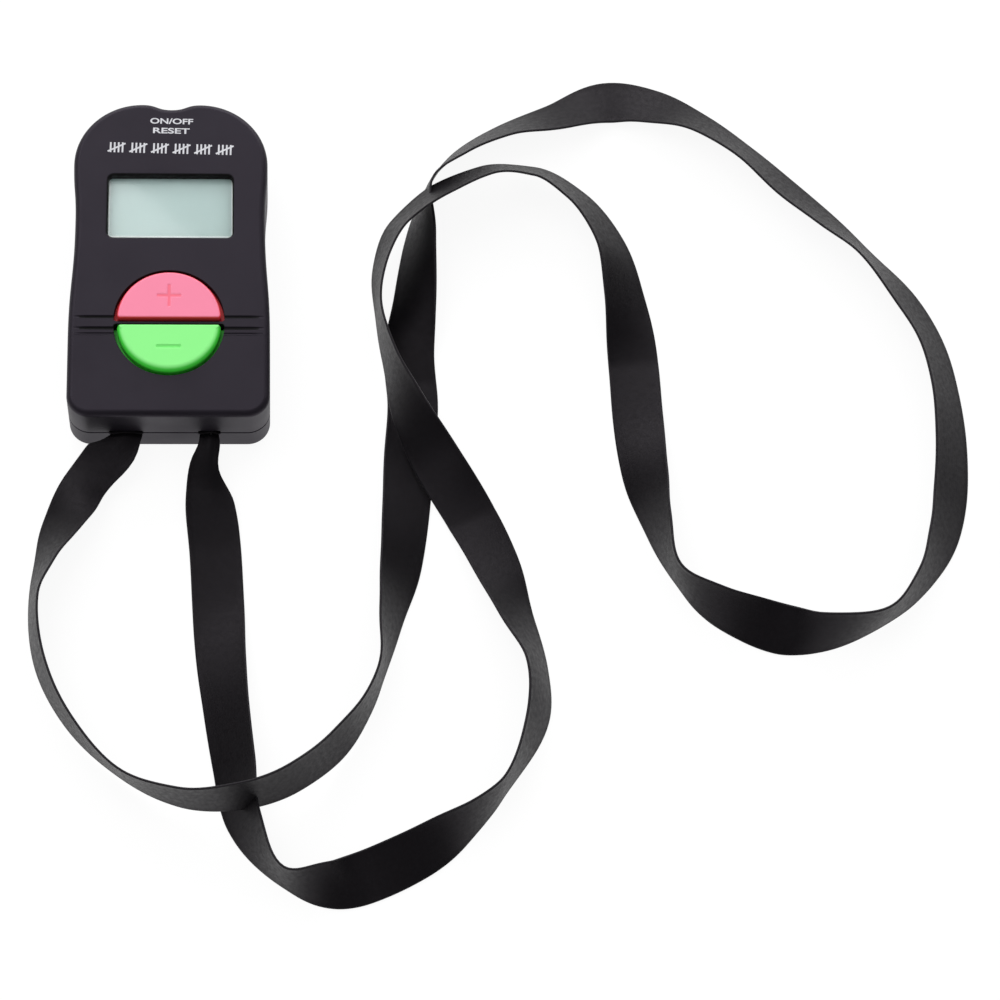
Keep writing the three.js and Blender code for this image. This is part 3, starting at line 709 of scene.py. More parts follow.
def black_epoxy():
    material = finish("black_epoxy", (0.006, 0.006, 0.007), 0.25)
    mottle(material, (0.012, 0.011, 0.012), 500)
    grain(material, 700, 0.25, 0.00008)
    return material


def tan_ceramic():
    material = finish("tan_ceramic", (0.45, 0.30, 0.15), 0.45)
    mottle(material, (0.40, 0.26, 0.13), 1800)
    grain(material, 5000, 0.2, 0.00003)
    return material


def nickel_steel():
    """Nickel plated steel with fine drawing marks."""
    material = finish("nickel_steel", (0.56, 0.57, 0.58), 0.3, {"Metallic": 1.0})
    mottle(material, (0.48, 0.49, 0.50), 600)
    grain(material, 4200, 0.12, 0.00002)
    rub(material, 0.22, 0.4, 500)
    return material


def black_switch_plastic():
    material = finish("black_switch_plastic", (0.012, 0.012, 0.013), 0.5)
    mottle(material, (0.018, 0.018, 0.019), 400)
    grain(material, 3500, 0.2, 0.00003)
    return material


THREAD_PITCH = 0.34
SELVEDGE_SHARE = 0.045


def black_satin_ribbon():
    """Black satin: fine ribs across the ribbon, and a tighter selvedge along both edges."""
    material = finish("black_satin_ribbon", (0.0038, 0.0032, 0.0042), 0.45, {
        "Specular IOR Level": 0.22, "Specular Tint": (0.92, 0.84, 0.94, 1),
        "Sheen Weight": 0.01, "Sheen Roughness": 0.35, "Sheen Tint": (0.80, 0.76, 0.82, 1)})
    tree = material.node_tree
    weave = add_node(tree, "ShaderNodeUVMap", uv_map="weave").outputs["UV"]
    inner = calculate(tree, "COMPARE", split_vector(tree, weave)["X"], 0.5, 0.5 - SELVEDGE_SHARE / 2)
    threads = RIBBON_WIDTH / THREAD_PITCH
    place = calculate_vector(tree, "MULTIPLY", weave, (threads, threads, 1))
    rib_sockets = {"Vector": place, "Scale": 0.5, "Distortion": 0.6, "Detail": 1.0}
    ribs = add_node(tree, "ShaderNodeTexWave", rib_sockets, bands_direction="Y").outputs["Fac"]
    slub_sockets = {"Vector": place, "Scale": 0.35, "Detail": 5.0}
    slub = add_node(tree, "ShaderNodeTexNoise", slub_sockets).outputs["Fac"]
    cloud = mix_colours(tree, slub, (0.0024, 0.0020, 0.0026), (0.0042, 0.0036, 0.0046))
    threaded = mix_colours(tree, ribs, cloud, (0.0054, 0.0048, 0.0058))
    feed(material, "Base Color", mix_colours(tree, inner, (0.014, 0.013, 0.015), threaded))
    bump = add_node(tree, "ShaderNodeBump", {
        "Height": calculate(tree, "ADD", ribs, slub), "Strength": 0.35, "Distance": 0.00006})
    feed(material, "Normal", bump.outputs["Normal"])
    feed(material, "Roughness", remap(tree, slub, 0.3, 0.7, 0.36, 0.52))
    return material


# Ribbon

# Each point is (x, y, lean, lift): lean is the tilt of the ribbon's width in degrees, positive with
# the left edge up, and lift is the height of its low edge above EDGE_CLEARANCE.
ROUTE = [
    (8.1, -34, 0, 6), (8, -45.4, 0, 1.1), (9, -56.5, 0, 0.1), (9.6, -67.3, 1, 0), (10.2, -77.9, 17, 0),
    (11.3, -88.6, 30, 0), (12.8, -99.6, 36, 0), (14.7, -111.1, 50, 0), (21.9, -122.4, 91, 0),
    (31, -123.7, 41, 0), (37.7, -121.5, 10, 0), (48.7, -116.7, 33, 0), (58.7, -110.1, 75, 0),
    (64.3, -104, 88, 0), (70.3, -90.7, 62, 0), (70.3, -80.5, 64, 0), (66.5, -69.8, 44, 0),
    (62.8, -58.6, 14, 0.3), (58.2, -48.6, -1, 0.6), (52.1, -38.8, -23, 1.3), (46.6, -28.6, -52, 1.6),
    (43, -18, -80, 1.2), (40.9, -7.2, -88, 0.8), (41.5, 2.8, -72, 1.9), (45.3, 11.2, -60, 3.3),
    (53.4, 16.6, -51, 7.2), (62.4, 21.2, -55, 6.3), (72.3, 23, -55, 2.4), (80.7, 18.6, -52, 0.7),
    (87.3, 9.1, -47, 0), (89.9, -2.6, -32, 0), (91.3, -15.1, 0, 0), (91.8, -28.3, 9, 0),
    (92.6, -40.7, 32, 0), (94.3, -51.1, 64, 0), (97.9, -62.6, 93, 0), (105.5, -68.9, 62, 0),
    (117, -72.9, 25, 0), (124.5, -74.5, 58, 0), (137.7, -71.5, 92, 0), (145.4, -63.9, 73, 0),
    (150.2, -54.4, 49, 0), (152.3, -45.3, 41, 0), (153.2, -34.2, 44, 0), (152.7, -23.2, 49, 0),
    (150.6, -12.9, 49, 0), (145.9, -3.4, 46, 0), (138.5, 6.2, 59, 0), (131.2, 13.7, 48, 0),
    (123.6, 20.9, 43, 0), (115.4, 29, 49, 0), (106.1, 36.1, 42, 0), (97, 40.4, 20, 0), (88, 41.7, 6, 0),
    (77.4, 37.4, 34, 0), (66.7, 33.6, 53, 0), (57.5, 28.1, 62, 0), (50.9, 20.2, 84, 0), (49.2, 9.2, 52, 0),
    (48.1, -2.9, 34, 0), (46.9, -14.4, 5, 0), (47.5, -25.5, -4, 0), (46.6, -36.7, -9, 0),
    (45.8, -48.1, -21, 0), (44.6, -59.7, -36, 0), (42.5, -71, -64, 0), (40.7, -81.5, -86, 0),
    (37.9, -88.7, -83, 0), (32.6, -96.4, -72, 0.5), (24.1, -104.2, -73, 3.5), (13.8, -108.1, -77, 4.2),
    (2.4, -107.4, -87, 1.6), (-8.4, -102.4, -98, 0.3), (-18.3, -91.9, -86, 0.2), (-24, -79.9, -79, 0),
    (-25.4, -67.8, -78, 0), (-23.5, -60, -63, 0.4), (-20.5, -51.9, -36, 0.7), (-15.6, -43, -6, 2.1),
    (-8.1, -34, 0, 6),
]
STEPS_PER_POINT = 11
SECTION_STEPS = 16


def route_place(index, share):
    """A point of the centripetal curve through the route, seen from above."""
    plan = np.array(ROUTE, float)[:, :2]
    p1, p2 = plan[index], plan[index + 1]
    p0 = plan[index - 1] if index else 2 * p1 - p2
    p3 = plan[index + 2] if index + 2 < len(plan) else 2 * p2 - p1
    d0, d1, d2 = (math.dist(a, b) ** 0.5 for a, b in ((p0, p1), (p1, p2), (p2, p3)))
    start = ((p1 - p0) / d0 - (p2 - p0) / (d0 + d1) + (p2 - p1) / d1) * d1
    end = ((p2 - p1) / d1 - (p3 - p1) / (d1 + d2) + (p3 - p2) / d2) * d1
    square = -3 * p1 + 3 * p2 - 2 * start - end
    cube = 2 * p1 - 2 * p2 + start + end
    return p1 + start * share + square * share ** 2 + cube * share ** 3


def way_along(centre):
    """The length from the first point of a line to each of its points."""
    return np.concatenate([[0], np.cumsum(np.linalg.norm(np.diff(centre, axis=0), axis=1))])


def soften(values, reach):
    """Evens a row of values out over reach steps, with its ends kept."""
    weights = np.exp(-0.5 * (np.arange(-2 * reach, 2 * reach + 1) / reach) ** 2)
    padded = np.pad(values, 2 * reach, mode="edge")
    even = np.convolve(padded, weights / weights.sum(), mode="valid")
    even[0], even[-1] = values[0], values[-1]
    return even


def ribbon_stations():
    """Centre points, directions ahead, level width directions and leans along the whole ribbon."""
    plan, lean, lift = [], [], []
    for index in range(len(ROUTE) - 1):
        for step in range(STEPS_PER_POINT + (index == len(ROUTE) - 2)):
            share = step / STEPS_PER_POINT
            ease = share * share * (3 - 2 * share)
            plan.append(route_place(index, share))
            lean.append(ROUTE[index][2] * (1 - ease) + ROUTE[index + 1][2] * ease)
            lift.append(ROUTE[index][3] * (1 - ease) + ROUTE[index + 1][3] * ease)
    lean = np.radians(soften(np.array(lean), 3))
    lift = np.array(lift)
    rise = RIBBON_WIDTH / 2 * np.abs(np.sin(lean)) + EDGE_CLEARANCE
    centre = np.column_stack([np.array(plan), lift + rise])
    ahead = np.gradient(centre, axis=0)
    flat = unit(np.column_stack([-ahead[:, 1], ahead[:, 0], np.zeros(len(ahead))]))
    return centre, ahead, flat, lean


def ribbon_section():
    """Places across the ribbon from -1 to 1 and the half thickness there, once round."""
    angle = np.linspace(-math.pi / 2, math.pi / 2, SECTION_STEPS + 1)
    place = np.sin(angle)
    bead = 1 + 0.35 * ramp(np.abs(place), 0.88, 0.95)
    half = RIBBON_THICKNESS / 2 * np.minimum(1, 5 * np.cos(angle)) * bead
    around = np.concatenate([place, place[-2:0:-1]])
    return around, np.concatenate([half, -half[-2:0:-1]])


def ribbon_mesh(name, centre, across, through, opening):
    """A band round the stations. Where its sides are drawn in it is folded, and its face cups a little."""
    place, half = ribbon_section()
    count = len(place)
    length = way_along(centre)
    gathered = 1 - opening.mean(1)
    cup = CUP_DEPTH * np.sin(length / CUP_WAVE)[:, None] * (place[None, :] ** 2 - 0.4)
    folds = FOLD_DEPTH * np.minimum(1, 2 * gathered)[:, None] * np.cos(math.pi * place[None, :])
    offset = half[None, :] + cup + folds
    share = np.where(place[None, :] > 0, opening[:, :1], opening[:, 1:])
    reach = RIBBON_WIDTH / 2 * share * place[None, :]
    points = (centre[:, None, :] + across[:, None, :] * reach[:, :, None]
              + through[:, None, :] * offset[:, :, None])
    faces = band_faces(len(centre), count) + end_faces(len(centre), count)
    piece = new_piece(name, points.reshape(-1, 3), faces)
    weave = piece.data.uv_layers.new(name="weave")
    vertex = np.zeros(len(piece.data.loops), int)
    piece.data.loops.foreach_get("vertex_index", vertex)
    along = (length / RIBBON_WIDTH)[vertex // count]
    side = (place[vertex % count] + 1) / 2
    weave.data.foreach_set("uv", np.stack([side, along], 1).astype(np.float32).ravel())
    point_outwards(piece)
    piece.data.shade_smooth()
    return piece


def opening_at(table, way):
    """The shares of the half width on both sides, at ways from a slot."""
    places, left, right = zip(*table)
    return np.stack([np.interp(way, places, left), np.interp(way, places, right)], 1)


def build_ribbon(material):
    centre, ahead, flat, lean = ribbon_stations()
    length = way_along(centre)
    to_slot = np.minimum(length, length[-1] - length)
    spread = ramp(to_slot, 0, TURN_LENGTH)[:, None]
    square = np.sign(flat[:, :1]) * np.array([[1, 0, 0]])
    across = unit(square * (1 - spread) + flat * spread)
    across = across * np.cos(lean)[:, None] + np.array([[0, 0, 1]]) * np.sin(lean)[:, None]
    through = unit(np.cross(ahead, across))
    opening = np.minimum(opening_at(RIGHT_OPENING, length), opening_at(LEFT_OPENING, length[-1] - length))
    opening = np.stack([soften(opening[:, 0], 1), soften(opening[:, 1], 1)], 1)
    piece = ribbon_mesh("ribbon", centre, across, through, opening)
    piece.data.materials.append(material)
    dress(piece, "case", "ribbon", "neck_ribbon")


def knot_points():
    """A flattened overhand knot behind the end wall, about its own centre."""
    angle = np.arange(KNOT_STEPS) / KNOT_STEPS * 2 * math.pi
    loop = np.stack([np.sin(angle) + 2 * np.sin(2 * angle), -np.sin(3 * angle),
                     np.cos(angle) - 2 * np.cos(2 * angle)], 1)
    return loop / (2.6, 1, 2.6)


def build_knot(low, high, x):
    """A round tube along the knot, in the room behind the slot."""
    size = (high - low) / 2
    room = (size[0] - KNOT_TUBE, KNOT_HALF_DEPTH - KNOT_TUBE, size[2] - KNOT_TUBE)
    loop = knot_points() * room + (x, high[1] - KNOT_FROM_WALL, PARTING)
    ahead = unit(np.roll(loop, -1, 0) - np.roll(loop, 1, 0))
    outward = unit(np.cross(ahead, (0, 1, 0)))
    upward = np.cross(outward, ahead)
    turn = np.arange(KNOT_SIDES) / KNOT_SIDES * 2 * math.pi
    ring = (outward[:, None, :] * np.cos(turn)[None, :, None]
            + upward[:, None, :] * np.sin(turn)[None, :, None])
    points = loop[:, None, :] + ring * KNOT_TUBE
    knot = new_piece("knot", points.reshape(-1, 3), band_faces(len(loop), KNOT_SIDES, closed=True))
    knot.data.uv_layers.new(name="weave")
    point_outwards(knot)
    knot.data.shade_smooth()
    return knot


def build_ribbon_end(side, name, node, opening, material):
    """The gathered stretch in the slot, and the knot that keeps it from slipping out."""
    low, high = box_mm(node)
    x = (low[0] + high[0]) / 2
    depth = np.linspace(SLOT_Y, SLOT_Y + STUB_LENGTH, STUB_STEPS)
    centre = np.stack([np.full(STUB_STEPS, x), depth, np.full(STUB_STEPS, PARTING - 0.05)], 1)
    if side > 0:
        centre = centre[::-1]
    ahead = np.tile([0, -1.0 * side, 0], (STUB_STEPS, 1))
    across = np.tile([1.0 * side, 0, 0], (STUB_STEPS, 1))
    through = np.cross(ahead, across)
    stub = ribbon_mesh(name, centre, across, through, np.tile(opening[0][1:], (STUB_STEPS, 1)))
    knot = build_knot(low, high, x)
    shape = bmesh.new()
    shape.from_mesh(stub.data)
    shape.from_mesh(knot.data)
    shape.to_mesh(stub.data)
    shape.free()
    bpy.data.objects.remove(knot)
    stub.data.materials.append(material)
    dress(stub, "case", "ribbon", node)


# Case shells

def paint_recess_shade(shell, outline, material):
    """Gives the faces inside the case, inside its openings and down in its grooves a darker black with
    less sheen: painted shade in these recesses.
    """
    shell.data.materials.append(material)
    middle = np.zeros(3 * len(shell.data.polygons))
    shell.data.polygons.foreach_get("center", middle)
    middle = middle.reshape(-1, 3) / MM
    to_side = np.array([np.linalg.norm(outline - place, axis=1).min() for place in middle[:, :2]])
    over_grooves = np.abs(middle[:, 1] - KEY_Y) < GROOVES_REACH
    shade_depth = np.where(over_grooves, SHADE_UNDER_GROOVES, SHADE_UNDER_FACE)
    below_face = middle[:, 2] < CASE_HEIGHT - shade_depth
    inside = (to_side > SHADE_FROM_SIDE) & below_face & (middle[:, 2] > SHADE_FROM_BACK)
    shell.data.polygons.foreach_set("material_index", inside.astype(np.int32))


def slot_cutters():
    depth = WALL + LIP_THICKNESS + 2 * CLEAR
    cutters = []
    for x, width in zip(SLOT_MIDDLES, SLOT_WIDTHS):
        outline = rounded_rectangle(width, SLOT_HEIGHT, 0.5)
        levels = [(d, -z) for d, z in lip_levels(SLOT_LIP, 0, 1)]
        cutter = skin("slot", stack(outline, levels + [(0, depth)]))
        turn = Matrix(((1, 0, 0, x * MM), (0, 0, 1, BOTTOM_Y * MM), (0, 1, 0, PARTING * MM),
                       (0, 0, 0, 1)))
        cutter.data.transform(turn)
        point_outwards(cutter)
        cutters.append(cutter)
    return cutters


def reset_cutter():
    outline = superellipse(RESET_WIDTH / 2 + RESET_SLIDE, RESET_HEIGHT / 2 + RESET_SLIDE)
    levels = lip_levels(RESET_LIP, DENT_WALL_Y, 3) + [(0, DENT_WALL_Y - WALL - 2)]
    return turn_to_end(skin("reset_hole", stack(outline, levels)))


def posts_at(nodes, radius, z, sides=32):
    """Upright round solids at the places of some screws."""
    return [post(middle_mm(node)[:2], radius, z, sides) for node in nodes]


def build_front_shell(material, recess_black):
    outline = case_outline()
    bottom = PARTING + SEAM / 2
    levels = rounded_edge(EDGE_ROUND, CASE_HEIGHT, 1) + [
        (0, bottom + SEAM_LIP), (SEAM_LIP, bottom), (WALL, bottom), (WALL, PANEL_UNDER)]
    shell = skin("front_shell", stack(outline, levels))
    into_panel = PANEL_UNDER + WALL / 2
    board_top = box_mm("main_board")[1][2]
    posts = posts_at(CASE_SCREWS, POST_RADIUS, (bottom, into_panel))
    posts += posts_at(BOARD_SCREWS, BOARD_POST_RADIUS, (board_top, into_panel))
    carve(shell, "UNION", posts)
    screw_top = box_mm(CASE_SCREWS[0])[1][2] + CLEAR
    board_screw_top = box_mm(BOARD_SCREWS[0])[1][2] + CLEAR
    holes = posts_at(CASE_SCREWS, SCREW_RADIUS + SCREW_SLACK, (0, screw_top), 20)
    holes += posts_at(BOARD_SCREWS, BOARD_SCREW_RADIUS + SCREW_SLACK, (0, board_screw_top), 20)
    window = rounded_rectangle(WINDOW_WIDTH, WINDOW_HEIGHT, WINDOW_CORNER, 0, WINDOW_Y)
    under = [(0, PANEL_UNDER - 1)]
    openings = [skin("window_hole", stack(window, lip_levels(WINDOW_LIP, CASE_HEIGHT, 1) + under))]
    for side in (1, -1):
        hole = half_disc(OPENING_RADIUS, KEY_HALF_GAP - KEY_SLIDE, side)
        openings.append(skin("key_hole", stack(hole, lip_levels(KEY_LIP, CASE_HEIGHT, 1) + under)))
    carve(shell, "DIFFERENCE", holes + openings + groove_cutters() + [reset_cutter()] + slot_cutters())
    smooth(shell)
    shell.data.materials.append(material)
    paint_recess_shade(shell, outline, recess_black)
    dress(shell, "case", "shell", "front_cover")


def groove_cutters():
    """Troughs with soft lips across the face, which fade out before its sides."""
    cutters = []
    reach = CASE_WIDTH / 2
    stations = [(from_side - reach, share) for from_side, share in GROOVE_FADE]
    stations += [(-x, share) for x, share in stations[::-1]]
    for offset, width, depth in GROOVES:
        y = KEY_Y + offset
        rings = []
        for x, share in stations:
            flare, low = GROOVE_FLARE * share, depth * share
            section = [(width / 2 + flare, 1), (width / 2 + flare, 0), (width / 2 + flare / 3, -flare / 2),
                       (width / 2, -flare), (width * 0.4, -low * 0.85), (width * 0.22, -low)]
            ring = [(y + side, z) for side, z in section] + [(y - side, z) for side, z in section[::-1]]
            rings.append(np.array([(x, place, CASE_HEIGHT + z) for place, z in ring]))
        cutters.append(skin("groove", rings))
    return cutters


def build_back_shell(material, recess_black):
    outline = case_outline()
    top = PARTING - SEAM / 2
    tongue = WALL + CLEAR
    levels = rounded_edge(BACK_ROUND, 0, -1) + [
        (0, top - SEAM_LIP), (SEAM_LIP, top), (tongue, top), (tongue, PARTING + LIP_HEIGHT),
        (tongue + LIP_THICKNESS, PARTING + LIP_HEIGHT), (tongue + LIP_THICKNESS, top - LIP_HEIGHT),
        (WALL, top - LIP_HEIGHT), (WALL, WALL)]
    shell = skin("back_shell", stack(outline, levels))
    cell_low, cell_high = box_mm("button_cell")
    cell_radius = (cell_high[0] - cell_low[0]) / 2
    cell_place = (cell_low[:2] + cell_high[:2]) / 2
    flange_low = box_mm("reset_button")[0][1]
    doorway = RESET_WIDTH / 2 + RESET_FLANGE_REACH + CLEAR
    room = block((-doorway, doorway), (flange_low - 0.5 - CLEAR, DENT_WALL_Y - WALL), (WALL, CASE_HEIGHT))
    gaps = posts_at(CASE_SCREWS, POST_RADIUS + CLEAR, (top - 0.05, CASE_HEIGHT))
    gaps.append(post(cell_place, cell_radius + CLEAR, (cell_low[2] - CLEAR, CASE_HEIGHT), 64))
    carve(shell, "DIFFERENCE", gaps)
    carve(shell, "UNION", posts_at(CASE_SCREWS, POST_RADIUS + TOWER_WALL, (WALL / 2, top - 0.1)))
    head_top = box_mm(CASE_SCREWS[0])[0][2] + SCREW_HEAD_HEIGHT
    well_levels = [(d, -z) for d, z in lip_levels(WELL_LIP, 0, 1)] + [(0, head_top)]
    wells = []
    for node in CASE_SCREWS:
        mouth = arc(middle_mm(node)[:2], (SCREW_HEAD_RADIUS + CLEAR,) * 2, 0, 360, 40)
        wells.append(skin("well", stack(mouth, well_levels)))
    holes = posts_at(CASE_SCREWS, SCREW_RADIUS + SCREW_SLACK, (0, CASE_HEIGHT), 20)
    carve(shell, "DIFFERENCE", wells + holes + [reset_cutter(), room] + slot_cutters())
    smooth(shell)
    shell.data.materials.append(material)
    paint_recess_shade(shell, outline, recess_black)
    dress(shell, "case", "shell", "back_cover")


# Keys

def mark_cutter(x_length, y_length, y, depth):
    bar = rounded_rectangle(x_length, y_length, MARK_STROKE * 0.3, 0, y, 4)
    levels = [(-MARK_FLARE, KEY_TOP + 1), (-MARK_FLARE, KEY_TOP),
              (-MARK_FLARE * 0.4, KEY_TOP - depth * 0.2), (0, KEY_TOP - depth * 0.65),
              (0.04, KEY_TOP - depth * 0.75), (0.14, KEY_TOP - depth)]
    return skin("mark", stack(bar, levels))


def build_count_key(name, node, body, slot, side, arc_round, bars, mark_depth, material):
    """Rounded cap, flange that keeps it in the case, hollow with a stem, and a sunken mark."""
    cap = half_disc(KEY_RADIUS, KEY_HALF_GAP, side)
    flange = half_disc(FLANGE_RADIUS, KEY_HALF_GAP, side)
    hollow = half_disc(KEY_RADIUS - KEY_WALL, KEY_HALF_GAP + KEY_WALL, side)
    hollow_top = KEY_TOP - KEY_WALL
    rings = stack(cap, rounded_edge(key_rounding(arc_round), KEY_TOP, 1, 11) + [(0, FLANGE_TOP)])
    rings += stack(flange, [(FLANGE_CHAMFER, FLANGE_TOP), (0, FLANGE_TOP - FLANGE_CHAMFER),
                            (0, FLANGE_BOTTOM)])
    rings += stack(hollow, [(0, FLANGE_BOTTOM), (0, hollow_top)])
    key = skin(name, rings)
    y = KEY_Y + side * MARK_Y
    stem_low = box_mm(node)[0][2]
    carve(key, "UNION", [post((0, y), STEM_RADIUS, (stem_low, hollow_top + KEY_WALL / 2))])
    carve(key, "DIFFERENCE", [mark_cutter(*bar, y, mark_depth) for bar in bars])
    smooth(key)
    key.data.materials.append(material)
    dress(key, body, slot, node)


def open_tree(name, sockets):
    """A geometry tree with named inputs, given as (label, kind): itself, their identifiers and outputs."""
    tree = bpy.data.node_groups.new(name, "GeometryNodeTree")
    named = {}
    for label, kind in sockets:
        made = tree.interface.new_socket(label, in_out="INPUT", socket_type=f"NodeSocket{kind}")
        named[label] = made.identifier
    tree.interface.new_socket("Result", in_out="OUTPUT", socket_type="NodeSocketGeometry")
    return tree, named, tree.nodes.new("NodeGroupInput").outputs


def close_tree(tree, geometry, material):
    """Makes the instances real, gives them their material and ends the tree."""
    real = add_node(tree, "GeometryNodeRealizeInstances", {"Geometry": geometry})
    coated = add_node(tree, "GeometryNodeSetMaterial", {"Geometry": real.outputs[0], "Material": material})
    tree.links.new(coated.outputs[0], tree.nodes.new("NodeGroupOutput").inputs[0])


def repeat_on_line(tree, count, start, offset, instance):
    """Copies of an instance on a straight row of points."""
    row = add_node(tree, "GeometryNodeMeshLine", {
        "Count": count, "Start Location": start, "Offset": offset})
    copies = add_node(tree, "GeometryNodeInstanceOnPoints", {
        "Points": row.outputs[0], "Instance": instance})
    return copies.outputs[0]


def reset_key_tree(material):
    """Turns a profile into an oval key: each profile point is (share of the oval, depth, growth)."""
    tree, named, given = open_tree("oval_key", [
        ("Profile", "Geometry"), ("Width", "Float"), ("Height", "Float"), ("Exponent", "Float"),
        ("Rows", "Int"), ("Columns", "Int"), ("Level", "Float")])
    make = lambda operation, *values: calculate(tree, operation, *values)
    grid = add_node(tree, "GeometryNodeMeshGrid", {
        "Vertices X": given["Columns"], "Vertices Y": given["Rows"]})
    index = tree.nodes.new("GeometryNodeInputIndex").outputs[0]
    row = make("MODULO", index, given["Rows"])
    column = make("FLOOR", make("DIVIDE", index, given["Rows"]))
    turn_steps = make("SUBTRACT", given["Columns"], 1)
    angle = make("DIVIDE", make("MULTIPLY", column, 2 * math.pi), turn_steps)
    position = tree.nodes.new("GeometryNodeInputPosition").outputs[0]
    sample = add_node(tree, "GeometryNodeSampleIndex", {"Geometry": given["Profile"], "Index": row},
                      data_type="FLOAT_VECTOR")
    tree.links.new(position, sample.inputs["Value"])
    profile = split_vector(tree, sample.outputs[0])
    power = make("DIVIDE", 2, given["Exponent"])

    def side(turn, size):
        bent = make("MULTIPLY", make("SIGN", turn), make("POWER", make("ABSOLUTE", turn), power))
        half = make("MULTIPLY", make("MULTIPLY", size, 0.5), profile["X"])
        return make("MULTIPLY", bent, make("ADD", half, profile["Z"]))

    x = side(make("COSINE", angle), given["Width"])
    z = make("ADD", side(make("SINE", angle), given["Height"]), given["Level"])
    place = join_vector(tree, X=x, Y=profile["Y"], Z=z)
    moved = add_node(tree, "GeometryNodeSetPosition", {
        "Geometry": grid.outputs["Mesh"], "Position": place})
    closed = add_node(tree, "GeometryNodeMergeByDistance", {
        "Geometry": moved.outputs[0], "Distance": 1e-6})
    close_tree(tree, closed.outputs[0], material)
    return tree, named


def grow(piece, tree, named, values):
    """Runs a geometry tree on a piece and keeps its result as a plain mesh."""
    modifier = piece.modifiers.new(tree.name, "NODES")
    modifier.node_group = tree
    for label, value in values.items():
        modifier[named[label]] = value
    settle(piece)
    point_outwards(piece)
    piece.data.shade_smooth()
    piece.data.set_sharp_from_angle(angle=math.radians(35))


def build_reset_key(material):
    """The oval key in the end wall. It has a known fault.

    new_piece scales the profile's shares by MM, and the width and height are in metres too, so the oval
    comes out 1000 times too small and only the flange's reach is left.
    """
    low, high = box_mm("reset_button")
    tip, flange_back = high[1], low[1]
    profile = [(0, tip, 0)]
    for i in range(1, RESET_DOME_STEPS + 1):
        share = i / RESET_DOME_STEPS
        bend = max(0.0, (share - RESET_FLAT_SHARE) / (1 - RESET_FLAT_SHARE)) ** RESET_DOME_POWER
        rim = 1 - math.sqrt(max(0.0, 1 - bend))
        drop = RESET_CROWN * share ** 2 * 0.5 + (RESET_ROUND - RESET_CROWN * 0.5) * rim
        profile.append((share, tip - drop, 0))
    flange_front = flange_back + RESET_FLANGE
    profile += [(1, flange_front, 0), (1, flange_front, RESET_FLANGE_REACH),
                (1, flange_back, RESET_FLANGE_REACH), (0, flange_back, 0)]
    key = new_piece("reset_key", profile, [])
    tree, named = reset_key_tree(material)
    grow(key, tree, named, {
        "Width": RESET_WIDTH * MM, "Height": RESET_HEIGHT * MM, "Exponent": RESET_EXPONENT,
        "Rows": len(profile), "Columns": RESET_COLUMNS, "Level": RESET_Z * MM,
    })
    dress(key, "reset_key", "reset_plastic", "reset_button")


# Screws

def build_screw():
    """One pan head screw that points up, with ridges for its thread and a cross recess."""
    low, high = box_mm(CASE_SCREWS[0])
    head_end = low[2] + SCREW_HEAD_HEIGHT
    profile = [(0, low[2] - 0.02), (0.8, low[2] + 0.02), (1.35, low[2] + 0.2),
               (SCREW_HEAD_RADIUS, low[2] + 0.6), (SCREW_HEAD_RADIUS, head_end),
               (SCREW_RADIUS * 0.8, head_end)]
    turns = int((high[2] - 0.6 - low[2] - SCREW_HEAD_HEIGHT) / SCREW_PITCH)
    core = SCREW_RADIUS * 0.76
    for i in range(turns):
        z = head_end + 0.1 + i * SCREW_PITCH
        profile += [(core, z), (SCREW_RADIUS, z + SCREW_PITCH * 0.35), (core, z + SCREW_PITCH * 0.7)]
    profile += [(0.25, high[2] - 0.1), (0, high[2])]
    turn = np.arange(32) / 32 * 2 * math.pi
    rings = [np.stack([max(r, 0.001) * np.cos(turn), max(r, 0.001) * np.sin(turn), np.full(32, z)], 1)
             for r, z in profile]
    screw = skin("case_screws", rings)
    wings = (SCREW_RECESS, SCREW_RECESS[::-1])
    recess = [block((-a, a), (-b, b), (-1, low[2] + 0.7)) for a, b in wings]
    carve(screw, "DIFFERENCE", recess)
    return screw


def screw_tree(material):
    """Copies one screw to two rows of two."""
    labels = ["Lower Spacing", "Lower Row", "Upper Spacing", "Upper Row"]
    tree, named, given = open_tree(
        "four_screws", [("Screw", "Geometry")] + [(label, "Float") for label in labels])
    both = tree.nodes.new("GeometryNodeJoinGeometry")
    for row in ("Lower", "Upper"):
        spacing = given[f"{row} Spacing"]
        start = join_vector(tree, X=calculate(tree, "MULTIPLY", spacing, -0.5), Y=given[f"{row} Row"])
        pair = repeat_on_line(tree, 2, start, join_vector(tree, X=spacing), given["Screw"])
        tree.links.new(pair, both.inputs[0])
    close_tree(tree, both.outputs[0], material)
    return tree, named


def build_case_screws(material):
    screws = build_screw()
    tree, named = screw_tree(material)
    lower, upper = middle_mm(CASE_SCREWS[1]), middle_mm(CASE_SCREWS[3])
    grow(screws, tree, named, {
        "Lower Spacing": 2 * lower[0] * MM, "Lower Row": lower[1] * MM,
        "Upper Spacing": 2 * upper[0] * MM, "Upper Row": upper[1] * MM,
    })
    dress(screws, "case", "steel", *CASE_SCREWS)


# Print on the face

PRINT_RISE = 0.03
PRINT_TURN = math.radians(-1.2)
PRINT_MIDDLE = Vector((0, 26.4, 0)) * MM
LETTER_HEIGHT = 1.25
LETTER_WEIGHT = 0.022
ON_OFF_Y, ON_OFF_WIDTH = 29.57, 8.45
RESET_LABEL_Y, RESET_LABEL_WIDTH = 27.45, 7.2
TALLY_Y = 23.5
TALLY_HEIGHT = 2.2
TALLY_STROKE = 0.34
TALLY_PITCH = 0.78
TALLY_GROUPS = 6
TALLY_GROUP_PITCH = 4.25
TALLY_SLASH_LENGTH = 3.9
TALLY_SLASH_TURN = math.radians(-62)


